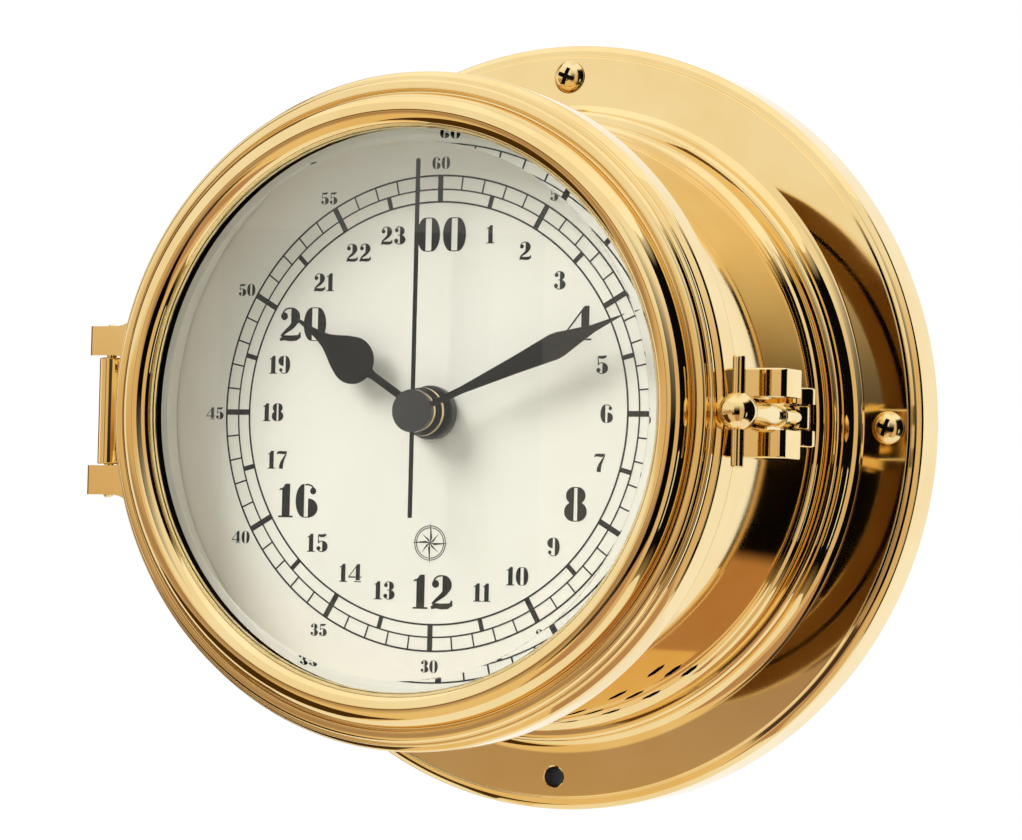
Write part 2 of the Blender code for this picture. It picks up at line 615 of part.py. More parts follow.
# dial, its ring and what clamps the movement to it
stem_hole = BUSH_R + GAP
turned("dial_plate", [
    (stem_hole, DIAL_H), (DIAL_R, DIAL_H), (DIAL_R, DIAL_BACK), (stem_hole, DIAL_BACK),
], DIAL_WHITE)
ring_r = DRUM_IN - GAP
turned("dial_ring", [
    (ring_r - 1.6, DRUM_TOP - GAP), (ring_r, DRUM_TOP - GAP), (ring_r, DIAL_H + GAP),
    (ring_r - 1.6, DIAL_H + GAP),
], DIAL_WHITE)
turned("rubber_washer", [
    (stem_hole, DIAL_BACK - GAP), (stem_hole + 3.9, DIAL_BACK - GAP),
    (stem_hole + 3.9, BOX_FRONT + GAP), (stem_hole, BOX_FRONT + GAP),
], RUBBER, 24)
nut_r = stem_hole + 2.0
turned("centre_nut", [
    (stem_hole, DIAL_H + 3.0), (nut_r - 0.35, DIAL_H + 3.0), (nut_r, DIAL_H + 2.6),
    (nut_r, DIAL_H + GAP), (stem_hole, DIAL_H + GAP),
], HAND_BLACK, 24)


def gear(teeth, module, phase):
    """Outline of a wheel or pinion, thinned a little so that no pair binds at any angle."""
    pitch_r = teeth * module / 2
    root_r = pitch_r - ROOT * module
    tip_r = pitch_r + TIP * module
    points = []
    for k in range(teeth):
        middle = phase + math.tau * k / teeth
        for radius, half in ((root_r, -0.70), (tip_r, -0.26), (tip_r, 0.26), (root_r, 0.70)):
            turn = middle + half * module / radius
            points.append((radius * math.cos(turn), radius * math.sin(turn)))
    return points


def mesh_phase(line, phase, teeth, mate_teeth):
    """Phase of a mate whose centre lies at the angle line from this gear's centre."""
    return line + math.pi + (math.pi - (phase - line) * teeth) / mate_teeth


second_phase = 0.0
inter_phase = mesh_phase(math.radians(INTER_LINE), second_phase, SECONDS_TEETH, PINION)
rotor_phase = mesh_phase(math.radians(ROTOR_LINE), inter_phase, INTER_TEETH, PINION)
third_phase = mesh_phase(math.radians(THIRD_LINE), second_phase, PINION, THIRD_TEETH)
centre_phase = mesh_phase(math.radians(THIRD_LINE + 180), third_phase, PINION, CENTRE_TEETH)
minute_phase = mesh_phase(0.0, centre_phase, MINUTE_PINION, MINUTE_TEETH)
hour_phase = mesh_phase(math.pi, minute_phase, MINUTE_PINION, HOUR_TEETH)
knob_phase = mesh_phase(math.radians(KNOB_LINE), minute_phase, MINUTE_TEETH, MINUTE_PINION)


def wheel(name, mat, at, teeth, module, phase, low, high, bore=0.0):
    holes = [circle(bore, 10)] if bore else []
    return plate(name, gear(teeth, module, phase), low, high, mat, holes=holes, at=(*at, 0))


def add_pinion(obj, name, at, teeth, module, phase, low, high, bore=0.0):
    holes = [circle(bore, 10)] if bore else []
    tool = plate(name, gear(teeth, module, phase), low, high, TRAIN_BRASS, holes=holes,
                 at=(*at, 0), cutter=True)
    return join(obj, tool)


def add_rod(obj, name, radius, low, high, at, bore=0.0, count=8):
    tool = rod(name, radius, low, high, STEEL, at=(*at, 0), count=count, cutter=True, bore=bore)
    return join(obj, tool)


# heights in the movement, from its front wall down to the arbors' rear ends
ARBOR_LOW = BACK_WALL + GAP
BRIDGE_LOW = FRONT_WALL - 7.9
BRIDGE_TOP = BRIDGE_LOW + 0.8
STATOR_LOW = BRIDGE_LOW - 2.1
TRAIN_LOW = BRIDGE_LOW - 4.8

rotor = rod("rotor", ROTOR_R, STATOR_LOW - 0.9, STATOR_LOW + 1.7, MAGNET, at=(*ROTOR, 0),
            count=16)
add_pinion(rotor, "rotor_pinion", ROTOR, PINION, M_ROTOR, rotor_phase, TRAIN_LOW - 0.3,
           TRAIN_LOW + 2.1)
add_rod(rotor, "rotor_arbor", ARBOR_R - 0.05, ARBOR_LOW, BRIDGE_TOP - 0.3, ROTOR)

inter = wheel("intermediate_wheel", WHITE_PLASTIC, INTER, INTER_TEETH, M_ROTOR, inter_phase,
              TRAIN_LOW, TRAIN_LOW + 1.0)
add_pinion(inter, "inter_pinion", INTER, PINION, M_INTER, inter_phase, TRAIN_LOW + 0.7,
           TRAIN_LOW + 3.1)
add_rod(inter, "inter_arbor", ARBOR_R - 0.05, ARBOR_LOW, BRIDGE_TOP - 0.3, INTER)

seconds = wheel("seconds_wheel", TRAIN_BRASS, CENTRE, SECONDS_TEETH, M_INTER, second_phase,
                TRAIN_LOW + 1.7, TRAIN_LOW + 2.7)
add_pinion(seconds, "seconds_pinion", CENTRE, PINION, M_THIRD, second_phase, TRAIN_LOW + 2.4,
           BRIDGE_TOP + 1.8)
add_rod(seconds, "seconds_arbor", ARBOR_R, ARBOR_LOW, DIAL_H + 10.6, CENTRE)

third = wheel("third_wheel", TRAIN_BRASS, THIRD, THIRD_TEETH, M_THIRD, third_phase,
              BRIDGE_TOP + 0.6, BRIDGE_TOP + 1.5)
add_pinion(third, "third_pinion", THIRD, PINION, M_CENTRE, third_phase, BRIDGE_TOP + 1.3,
           BRIDGE_TOP + 3.5)
add_rod(third, "third_arbor", ARBOR_R + 0.15, ARBOR_LOW, FRONT_WALL - GAP, THIRD)

CENTRE_LOW = BRIDGE_TOP + 2.2
centre_bore = ARBOR_R + 0.27
centre = wheel("centre_wheel", TRAIN_BRASS, CENTRE, CENTRE_TEETH, M_CENTRE, centre_phase,
               CENTRE_LOW, CENTRE_LOW + 0.9, bore=centre_bore)
add_pinion(centre, "centre_pinion", CENTRE, MINUTE_PINION, M_MINUTE, centre_phase,
           CENTRE_LOW + 0.6, CENTRE_LOW + 2.8, bore=centre_bore)
add_rod(centre, "centre_tube", CENTRE_TUBE_R, CENTRE_LOW + 1.6, DIAL_H + 9.0, CENTRE,
        bore=ARBOR_R + GAP, count=10)

MOTION_LOW = CENTRE_LOW + 1.5
stud_r = ARBOR_R + 0.15
minute = wheel("minute_wheel", WHITE_PLASTIC, MINUTE, MINUTE_TEETH, M_MINUTE, minute_phase,
               MOTION_LOW, MOTION_LOW + 0.9, bore=stud_r + 0.18)
add_pinion(minute, "minute_pinion", MINUTE, MINUTE_PINION, M_HOUR, minute_phase,
           MOTION_LOW + 0.6, MOTION_LOW + 2.9, bore=stud_r + 0.19)

hour_bore = CENTRE_TUBE_R + GAP
hour = wheel("hour_wheel", WHITE_PLASTIC, CENTRE, HOUR_TEETH, M_HOUR, hour_phase,
             MOTION_LOW + 1.7, MOTION_LOW + 2.6, bore=hour_bore)
add_rod(hour, "hour_tube", HOUR_TUBE_R, MOTION_LOW + 2.3, DIAL_H + 6.5, CENTRE,
        bore=hour_bore + 0.03, count=10)

knob = plate("setting_knob", circle(KNOB_R, 14), BOX_BACK - 3.5, BOX_BACK - 0.5, CASE_PLASTIC,
             at=(*KNOB, 0))
add_rod(knob, "knob_arbor", ARBOR_R * 2, BOX_BACK - 1.9, FRONT_WALL - GAP, KNOB)
add_pinion(knob, "knob_pinion", KNOB, MINUTE_PINION, M_MINUTE, knob_phase, MOTION_LOW - 0.2,
           MOTION_LOW + 1.1)

# hands, drawn pointing at 12 and then turned to the time
HOUR_H = DIAL_H + 5.5
MINUTE_H = DIAL_H + 8.1
SECOND_H = DIAL_H + 10.1
blob_y = HOUR_REACH - 19.2
blob = arc(0, blob_y, 5.3, -80, 28, 8)
spike = about([(3.0, 5.2), (1.7, 7.6), (0.9, 10.5), (0.35, 15.0)], 0, blob_y)
right_side = [(0.85, 4.5), (0.85, blob_y - 5.1)] + blob + spike
hour_hand = plate(
    "hour_hand",
    [(-x, y) for x, y in right_side] + [(0.0, HOUR_REACH)] + right_side[::-1],
    HOUR_H, HOUR_H + 0.6, HAND_BLACK, spin=-HOUR_ANGLE,
)
hour_boss = rod("hour_boss", CAP_R + 0.6, HOUR_H - 0.3, HOUR_H + 0.9, HAND_BLACK, count=24,
                cutter=True, bore=HOUR_TUBE_R + 0.15)
join(hour_hand, hour_boss)
widest = MINUTE_REACH - 17.2
right_side = [(0.7, 4.0), (0.8, 12.0), (2.9, widest), (0.8, MINUTE_REACH - 8.1)]
minute_hand = plate(
    "minute_hand",
    [(-x, y) for x, y in right_side] + [(0.0, MINUTE_REACH)] + right_side[::-1],
    MINUTE_H, MINUTE_H + 0.5, HAND_BLACK, spin=-MINUTE_ANGLE,
)
minute_boss = rod("minute_boss", CAP_R - 0.2, MINUTE_H - 0.4, MINUTE_H + 0.8, HAND_BLACK,
                  count=24, cutter=True, bore=CENTRE_TUBE_R + 0.15)
join(minute_hand, minute_boss)
neck = SECOND_REACH - 16.0
second_hand = plate(
    "second_hand",
    [(-0.55, -SECOND_TAIL), (0.55, -SECOND_TAIL), (0.55, neck), (0.3, SECOND_REACH),
     (-0.3, SECOND_REACH), (-0.55, neck)],
    SECOND_H, SECOND_H + 0.4, HAND_BLACK, spin=-SECOND_ANGLE,
)
second_cap = turned("second_cap", [
    (0, SECOND_H + 1.0), (CAP_R - 0.4, SECOND_H + 1.0), (CAP_R, SECOND_H + 0.7),
    (CAP_R, SECOND_H - 0.7), (0, SECOND_H - 0.7),
], HAND_BLACK, 24, cutter=True)
join(second_hand, second_cap)
cut(second_hand, rod("cap_bore", ARBOR_R + 0.15, SECOND_H - 2.1, SECOND_H + 0.7, HAND_BLACK,
                     count=12, cutter=True))


def housing(half):
    """Square outline with its corners cut off."""
    short = half - 3.0 if half == BOX else half - 2.3
    return [(-half, -short), (-short, -half), (short, -half), (half, -short), (half, short),
            (short, half), (-short, half), (-half, short)]


# movement housings
body = housing(BOX)
inner = housing(INNER)
split = FRONT_WALL - 6.7
bush_bore = HOUR_TUBE_R + GAP + 0.1
bay = box(-INNER - 0.5, INNER + 0.5, BAY_WALL, BAY_WALL + 0.8)
front_case = plate("movement_front_housing", body, FRONT_WALL, BOX_FRONT, CASE_PLASTIC,
                   holes=[circle(bush_bore, 16)])
join(front_case, plate("front_walls", body, split, FRONT_WALL + 0.5, CASE_PLASTIC, holes=[inner],
                       cutter=True))
join(front_case, plate("front_bay_wall", bay, split, FRONT_WALL + 0.6, CASE_PLASTIC, cutter=True))
join(front_case, rod("threaded_bush", BUSH_R, FRONT_WALL + 0.4, DIAL_H + 4.2, CASE_PLASTIC,
                     count=16, cutter=True, bore=bush_bore))
join(front_case, rod("minute_stud", stud_r, MOTION_LOW - 0.4, FRONT_WALL + 0.6, CASE_PLASTIC,
                     at=(*MINUTE, 0), count=10, cutter=True))
# the cell goes in and out through this opening
door = INNER - 0.1
cell_door = [(-door, BAY_WALL - 0.1), (-door, 2.3 - door), (2.3 - door, -door),
             (door - 2.3, -door), (door, 2.3 - door), (door, BAY_WALL - 0.1)]
rear_case = plate("movement_rear_housing", body, BOX_BACK, BACK_WALL, CASE_PLASTIC,
                  holes=[cell_door, circle(ARBOR_R * 2 + GAP, 12, *KNOB)])
join(rear_case, plate("rear_walls", body, BACK_WALL - 0.6, split - GAP, CASE_PLASTIC,
                      holes=[inner], cutter=True))
join(rear_case, plate("rear_bay_wall", bay, BACK_WALL - 0.6, split - GAP, CASE_PLASTIC,
                      cutter=True))
posts = ((-20.5, -6.0), (-22.0, 10.0), (14.5, 9.5), (12.0, -7.0))
for number, post in enumerate(posts):
    add_rod(rear_case, "bridge_post_%d" % number, 1.2, BACK_WALL - 0.5, BRIDGE_LOW - GAP, post,
            count=10)
plate(
    "train_bridge",
    [(-23.5, -8.0), (14.0, -8.6), (16.6, 8.0), (15.6, 12.6), (4.0, WINDOW_LOW),
     (-22.0, WINDOW_LOW), (-24.4, 10.0)],
    BRIDGE_LOW, BRIDGE_TOP, STEEL,
    holes=[circle(2.3, 16), circle(1.0, 10, *THIRD), circle(0.7, 10, *INTER),
           circle(0.7, 10, *ROTOR)],
)
limb_low = ROTOR[1] - ROTOR_R - 1.7
limb_x = ROTOR[0] + ROTOR_R + 2.1
bar_low = WINDOW_LOW - 2.8
stator_top = INNER - 2.0
plate(
    "stator",
    [(limb_x - 11.0, limb_low), (limb_x, limb_low), (limb_x, bar_low), (14.0, bar_low),
     (14.0, stator_top), (limb_x - 11.0, stator_top)],
    STATOR_LOW, STATOR_LOW + 0.8, IRON,
    holes=[circle(ROTOR_R + 0.5, 16, *ROTOR),
           box(limb_x - 7.6, 10.8, WINDOW_LOW, WINDOW_HIGH)],
)
coil_y = (WINDOW_HIGH + stator_top) / 2
coil = plate("coil", box(coil_y - 3.0, coil_y + 3.0, STATOR_LOW - 2.3, STATOR_LOW + 2.9),
             -12.0, 8.0, COPPER,
             holes=[box(coil_y - 1.85, coil_y + 1.85, STATOR_LOW - 0.3, STATOR_LOW + 1.1)])
coil.matrix_world = (
    BENCH @ Matrix(((0, 0, 1, 0), (1, 0, 0, 0), (0, 1, 0, 0), (0, 0, 0, 1)))
)
board_top = ARBOR_LOW + 0.8
plate("circuit_board", box(INNER - 9.6, INNER - 0.4, -1.6, INNER - 2.6), ARBOR_LOW, board_top,
      BOARD)
turned("crystal_can", [
    (0, INNER - 3.6), (1.0, INNER - 3.6), (1.0, INNER - 9.6), (0, INNER - 9.6),
], STEEL, 12, axis="y", at=(INNER - 5.0, 0, board_top + 1.0 + GAP))

# cell and its contacts
cell_h = FRONT_WALL - CELL_R - 0.4
cell_end = CELL_TIP - 49.6
cell_shoulder = CELL_TIP - 1.4
turned("battery", [
    (0, CELL_TIP), (2.6, CELL_TIP), (2.6, cell_shoulder), (CELL_R - 0.5, cell_shoulder),
    (CELL_R, cell_shoulder - 0.5), (CELL_R, cell_end), (0, cell_end),
], CELL, 24, axis="x", at=(0, CELL_Y, cell_h))
positive = plate("contact_positive", box(0.5 - CELL_R, CELL_R - 0.5, -4.8, 4.8), CELL_TIP + GAP,
                 CELL_TIP + GAP + 0.5, STEEL)
positive.matrix_world = BENCH @ Matrix.Translation(Vector((0, CELL_Y, cell_h)) * MM) @ TURNS["x"]
turned("contact_negative", [
    (0, cell_end - GAP), (1.6, cell_end - GAP), (3.4, 1.0 - INNER + 0.4), (3.6, 0.9 - INNER),
    (5.0, 0.9 - INNER), (5.0, 0.4 - INNER), (0, 0.4 - INNER),
], STEEL, 20, axis="x", at=(0, CELL_Y, cell_h))

pivot("rotor_axis", *ROTOR, 0, [rotor])
pivot("intermediate_axis", *INTER, 0, [inter])
pivot("second_axis", 0, 0, 0, [seconds, second_hand])
pivot("third_axis", *THIRD, 0, [third])
pivot("minute_axis", 0, 0, 0, [centre, minute_hand])
pivot("minute_wheel_axis", *MINUTE, 0, [minute])
pivot("hour_axis", 0, 0, 0, [hour, hour_hand])
pivot("knob_axis", *KNOB, 0, [knob])
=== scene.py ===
"""Looks of the porthole marine clock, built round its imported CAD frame."""
import json
import math

import bmesh
import bpy
from mathutils import Matrix, Vector
from mathutils.bvhtree import BVHTree
from mathutils.interpolate import poly_3d_calc


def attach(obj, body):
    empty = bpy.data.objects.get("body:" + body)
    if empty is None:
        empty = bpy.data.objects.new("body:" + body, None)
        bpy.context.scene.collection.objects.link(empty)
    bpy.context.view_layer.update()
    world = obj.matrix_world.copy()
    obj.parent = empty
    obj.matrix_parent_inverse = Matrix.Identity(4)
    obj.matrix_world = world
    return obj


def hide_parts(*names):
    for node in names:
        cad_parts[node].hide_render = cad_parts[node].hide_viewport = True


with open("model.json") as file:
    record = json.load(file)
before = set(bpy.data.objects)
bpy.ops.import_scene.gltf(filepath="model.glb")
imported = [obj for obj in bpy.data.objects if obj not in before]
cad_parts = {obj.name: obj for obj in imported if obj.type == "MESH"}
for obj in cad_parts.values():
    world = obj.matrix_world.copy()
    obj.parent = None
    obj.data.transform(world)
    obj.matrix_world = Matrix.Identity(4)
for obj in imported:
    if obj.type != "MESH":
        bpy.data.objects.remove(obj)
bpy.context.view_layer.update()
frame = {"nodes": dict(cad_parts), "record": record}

nodes = frame["nodes"]
body_of = {node: body for body, members in frame["record"]["behaviour"]["bodies"].items()
           for node in members}

# Sizes in millimetres: across the dial, up it, and out of the wall
MM = 0.001
FINE = 288            # steps round the large turned rings
SMALL = 48            # steps round small turned pieces
MERGE = 0.0004        # corners closer than this become one
GAP = 0.3
DRUM_R = 69.8
DRUM_IN = 67.3
DRUM_TOP = 88.3
FLANGE_R = 90.0
FLANGE_BACK = 8.4     # roof of the hollow back
BOSS_R = 4.6
SCREW_RING_R = 82.4
SCREW_HOLE_R = 2.45
SCREW_SHANK_R = 2.1
SCREW_R = 3.85        # of the head
LIP_WALL_R = 66.5
LIP_R = 61.8
LIP_H = 4.0
LIP_TOP = LIP_H + 2.6
COVER_SCREW_R = (LIP_WALL_R + LIP_R) / 2
COVER_SCREWS = {60: "cover_screw_30", 300: "cover_screw_150", 180: "cover_screw_270"}
BEZEL_R = 75.4
SKIRT_H = 82.5        # of the bezel's lower edge
OPENING_R = 62.2
GLASS_BACK = 90.7
GLASS_FRONT = 94.6
GLASS_R = 66.1
DIAL_H = 78.0
HINGE_X = -81.8
HINGE_H = 82.0
KNUCKLE_HALF = 12.2
ARM_IN = 12.6
ARM_OUT = 19.3
PIN_R = 1.15
PIN_BORE_R = 1.4
CLEVIS_HALF = 6.5
CLEVIS_GAP_HALF = 2.9
VENT_ROWS = 9
VENT_TURN = 9         # degrees from row to row
VENT_HEIGHTS = (27.9, 37.2, 46.5)
BOLT_X = 80.4
BOLT_PIVOT_H = 63.0
BOLT_R = 1.65
THREAD_ROOT_R = 1.38
THREAD_PITCH = 0.7
LUG_TOP = 87.2
LUG_LOW = 76.9
LUG_HALF = 9.7
LUG_SLOT = 3.6
BALL_H = 94.5
BALL_R = 4.2
BAR_R = 1.4
BAR_HOLE_R = 1.55
BAR_HALF = 12.0
HOUR_ANGLE = 303.0    # of the hands, clockwise from 12
MINUTE_ANGLE = 66.9
SECOND_ANGLE = 0.0
KNOB_X = 19.593
KNOB_Y = -5.25


def colour(text):
    """An sRGB hex value as linear red, green, blue and alpha."""
    parts = [int(text[i:i + 2], 16) / 255 for i in (0, 2, 4)]
    return [c / 12.92 if c <= 0.04045 else ((c + 0.055) / 1.055) ** 2.4 for c in parts] + [1.0]


def add(tree, kind, inputs=None, **settings):
    """Adds a node; an input is given a value, or an output to link from."""
    made = tree.nodes.new(kind)
    for key, value in settings.items():
        setattr(made, key, value)
    for key, value in (inputs or {}).items():
        if isinstance(value, bpy.types.NodeSocket):
            tree.links.new(value, made.inputs[key])
        else:
            made.inputs[key].default_value = value
    return made


def ramp(tree, source, stops):
    """Colours or greys at places along a value."""
    made = add(tree, "ShaderNodeValToRGB", {"Fac": source})
    band = made.color_ramp
    for number, (place, value) in enumerate(stops):
        stop = band.elements[number] if number < 2 else band.elements.new(place)
        stop.position = place
        stop.color = colour(value)
    return made.outputs["Color"]


def finish(name, base, rough, grain=None, bump=0.0, bump_mm=0.02, **sockets):
    """A finish whose colour, roughness and relief are worked out from the piece's own coordinates."""
    material = bpy.data.materials.new(name)
    material.use_nodes = True
    tree = material.node_tree
    shader = tree.nodes["Principled BSDF"]
    place = add(tree, "ShaderNodeTexCoord").outputs["Object"]
    low, high = rough
    cloud = add(tree, "ShaderNodeTexNoise", {"Vector": place, "Scale": 1000 / 22, "Detail": 3.0})
    level = add(tree, "ShaderNodeMapRange", {"Value": cloud.outputs["Fac"], "From Min": 0.3,
                                             "From Max": 0.7, "To Min": low, "To Max": high})
    tree.links.new(level.outputs["Result"], shader.inputs["Roughness"])
    first, second = base
    tone = ramp(tree, cloud.outputs["Fac"], [(0.35, first), (0.68, second)])
    tree.links.new(tone, shader.inputs["Base Color"])
    if grain:
        kind, scale, detail = grain
        if kind == "wave":
            relief = add(tree, "ShaderNodeTexWave", {"Vector": place, "Scale": scale,
                                                     "Distortion": 0.4, "Detail": detail})
        else:
            relief = add(tree, "ShaderNodeTexNoise", {"Vector": place, "Scale": scale,
                                                      "Detail": detail})
        raised = add(tree, "ShaderNodeBump", {"Height": relief.outputs["Fac"], "Strength": bump,
                                              "Distance": bump_mm * MM})
        tree.links.new(raised.outputs["Normal"], shader.inputs["Normal"])
    for key, value in sockets.items():
        shader.inputs[key.replace("_", " ")].default_value = value
    return material


# Cast brass, turned, buffed to a mirror and lacquered: deep gold with a slight waviness from buffing
polished_brass = finish("polished_brass", ("EFD090", "F4DAA0"), (0.03, 0.07),
                        ("noise", 1000 / 16, 1.0), 0.35, 0.05, Metallic=1.0)
# Bar stock brass of the latch and screws, turned on a lathe: a little more satin than the castings
turned_brass = finish("turned_brass", ("EFD294", "F4DCA4"), (0.09, 0.16),
                      ("noise", 1000 / 0.9, 2.0), 0.10, 0.01, Metallic=1.0)
# Screw holes of the flange and the screws' recesses: painted shade, brown and almost without gloss, for
# the dark of the hollows
hole_shade_brass = finish("painted_hole_shade", ("20160B", "33230F"), (0.55, 0.75),
                       ("noise", 1000 / 0.4, 2.0), 0.30, 0.02, Metallic=0.2)
# Back of the bezel's skirt, left as it came off the lathe: dull brown brass
dull_brass = finish("as_turned_dull_brass", ("775629", "876434"), (0.34, 0.48),
                    ("noise", 1000 / 0.5, 2.0), 0.25, 0.02, Metallic=0.9)
# Stamped brass sheet of the train, matt from tumbling
train_brass = finish("stamped_train_brass", ("BE9856", "CBA868"), (0.26, 0.40),
                     ("noise", 1000 / 0.6, 2.0), 0.20, 0.01, Metallic=1.0)
# Enamelled copper wire, wound in rows about 0.16 mm apart
coil_copper = finish("enamelled_copper_wire", ("8A3A1C", "B0552B"), (0.22, 0.34),
                     ("wave", 1000 / 0.5, 0.0), 0.90, 0.10, Metallic=0.8)
# Zinc plated sheet steel: bluish grey with a cloudy bloom
zinc_steel = finish("zinc_plated_steel", ("A9ABAD", "BFC1C2"), (0.24, 0.40),
                    ("noise", 1000 / 1.2, 3.0), 0.12, 0.02, Metallic=1.0)
# Silicon iron stamping with its dark annealed skin
stator_iron = finish("annealed_silicon_iron", ("55585B", "6A6D70"), (0.34, 0.48),
                     ("noise", 1000 / 0.8, 2.0), 0.15, 0.02, Metallic=1.0)
# Moulded nitrile rubber, matt with a bloom
black_rubber = finish("nitrile_rubber", ("161617", "202021"), (0.60, 0.78),
                      ("noise", 1000 / 0.5, 2.0), 0.30, 0.02)
# Satin lacquer sprayed on the dial and its ring: warm ivory, almost without texture
ivory_lacquer = finish("ivory_satin_lacquer", ("F6F2E5", "F9F5E9"), (0.40, 0.50),
                       ("noise", 1000 / 0.4, 2.0), 0.06, 0.01, Specular_IOR_Level=0.35)
# Screen printed ink on the dial: dark olive black, slightly raised and matt
dial_ink = finish("screen_printed_ink", ("0C0B07", "13110B"), (0.50, 0.62),
                  ("noise", 1000 / 0.3, 2.0), 0.20, 0.01, Specular_IOR_Level=0.1)
# Hands of sheet brass in dark olive lacquer with a soft gloss
hand_lacquer = finish("dark_olive_hand_lacquer", ("0C0B07", "13120C"), (0.42, 0.55),
                      ("noise", 1000 / 0.5, 2.0), 0.10, 0.01, Specular_IOR_Level=0.06)
# Hubs of the hands and nut under them, in the same dark lacquer but buffed: a wet gloss at the rims
hub_lacquer = finish("dark_olive_gloss_lacquer", ("0D0C08", "141209"), (0.08, 0.14),
                     ("noise", 1000 / 0.8, 1.0), 0.05, 0.01, Coat_Weight=0.2, Coat_Roughness=0.06)
# Injection moulded ABS of the movement, spark-eroded texture
black_moulding = finish("textured_abs", ("1B1B1D", "242427"), (0.48, 0.62),
                        ("noise", 1000 / 0.35, 3.0), 0.45, 0.03)
# Acetal gears: milky white and waxy
white_acetal = finish("acetal", ("D9D8D0", "E4E3DB"), (0.34, 0.46),
                      ("noise", 1000 / 0.8, 1.0), 0.08, 0.01, Subsurface_Weight=0.1)
# Plastic bonded magnet: charcoal with a fine sparkle of grit
bonded_magnet = finish("bonded_ferrite", ("2A2A2C", "3B3B3E"), (0.42, 0.58),
                       ("noise", 1000 / 0.2, 3.0), 0.40, 0.02)
# Glass fibre board under green solder mask, a weave of about 0.3 mm showing through
circuit_board = finish("green_solder_mask", ("0E4A25", "15602F"), (0.22, 0.34),
                       ("wave", 1000 / 0.9, 0.0), 0.25, 0.02, Coat_Weight=0.3)
# Cell with a printed plastic sleeve over its steel can
cell_jacket = finish("cell_sleeve", ("1C2127", "262C34"), (0.22, 0.34),
                     ("noise", 1000 / 1.5, 1.0), 0.08, 0.01, Coat_Weight=0.5)

# Plate glass 3.9 mm thick, polished, with a ground and polished bevel
clear_glass = bpy.data.materials.new("polished_plate_glass")
clear_glass.use_nodes = True
glass_tree = clear_glass.node_tree
glass_shader = glass_tree.nodes["Principled BSDF"]
glass_shader.inputs["Transmission Weight"].default_value = 1.0
glass_shader.inputs["IOR"].default_value = 1.5
glass_shader.inputs["Specular IOR Level"].default_value = 0.3
glass_shader.inputs["Base Color"].default_value = colour("FBFDFB")
glass_place = add(glass_tree, "ShaderNodeTexCoord").outputs["Object"]
glass_haze = add(glass_tree, "ShaderNodeTexNoise", {"Vector": glass_place, "Scale": 1000 / 30})
glass_level = add(glass_tree, "ShaderNodeMapRange", {"Value": glass_haze.outputs["Fac"],
                                                     "To Min": 0.0, "To Max": 0.012})
glass_tree.links.new(glass_level.outputs["Result"], glass_shader.inputs["Roughness"])

FINISHES = {
    "polished_brass": polished_brass, "train_brass": train_brass, "coil_copper": coil_copper,
    "steel": zinc_steel, "silicon_iron": stator_iron, "clear_glass": clear_glass,
    "black_rubber": black_rubber, "ivory_lacquer": ivory_lacquer, "hand_lacquer": hand_lacquer,
    "black_moulding": black_moulding, "white_acetal": white_acetal,
    "bonded_magnet": bonded_magnet, "circuit_board": circuit_board, "cell_jacket": cell_jacket,
}
slot_of = {item["node"]: item["material_slot"] for item in frame["record"]["subparts"]}
for name, piece in nodes.items():
    piece.data.materials.clear()
    piece.data.materials.append(FINISHES[slot_of[name]])


def at(x, y, h):
    """A place given across the dial, up it and out of the wall."""
    return Vector((x * MM, -h * MM, y * MM))


SHARP = math.radians(32.0)     # corners steeper than this stay crisp


def shade_flat_and_round(mesh):
    """Smooth shading where each face counts by its area, so that flats stay flat beside roundings."""
    mesh.shade_smooth()
    mesh.set_sharp_from_angle(angle=SHARP)
    normals = [Vector() for corner in mesh.loops]
    bm = bmesh.new()
    bm.from_mesh(mesh)
    starts = [face.loop_start for face in mesh.polygons]
    areas = [face.calc_area() for face in bm.faces]
    for vert in bm.verts:
        left = set(vert.link_faces)
        while left:
            group = [left.pop()]
            total = Vector()
            for face in group:
                total += areas[face.index] * face.normal
                for edge in face.edges:
                    if edge.smooth and vert in edge.verts:
                        near = left.intersection(edge.link_faces)
                        left -= near
                        group.extend(near)
            for face in group:
                spot = list(face.verts).index(vert)
                normals[starts[face.index] + spot] = total.normalized()
    bm.free()
    return normals


def shade_like(mesh, normals, uncut):
    """Shades a cut casting as its uncut shape, so that its mirror finish shows no seams at cuts."""
    whole = bpy.data.meshes.new("uncut")
    uncut.to_mesh(whole)
    uncut.free()
    places = [vert.co.copy() for vert in whole.vertices]
    faces = [tuple(face.vertices) for face in whole.polygons]
    starts = [face.loop_start for face in whole.polygons]
    smooth = shade_flat_and_round(whole)
    tree = BVHTree.FromPolygons(places, faces)
    for face in mesh.polygons:
        for corner in face.loop_indices:
            spot = mesh.vertices[mesh.loops[corner].vertex_index].co
            # looked up a little inside the face, so that a corner finds the face it belongs to
            inside = spot.lerp(face.center, 0.05)
            way, index = tree.find_nearest(inside, 0.02 * MM)[1:3]
            if index is None or way.dot(face.normal) < 0.95:
                continue
            shares = poly_3d_calc([places[number] for number in faces[index]], spot)
            normal = Vector()
            for number, share in enumerate(shares):
                normal += share * smooth[starts[index] + number]
            normals[corner] = normal.normalized()
    bpy.data.meshes.remove(whole)


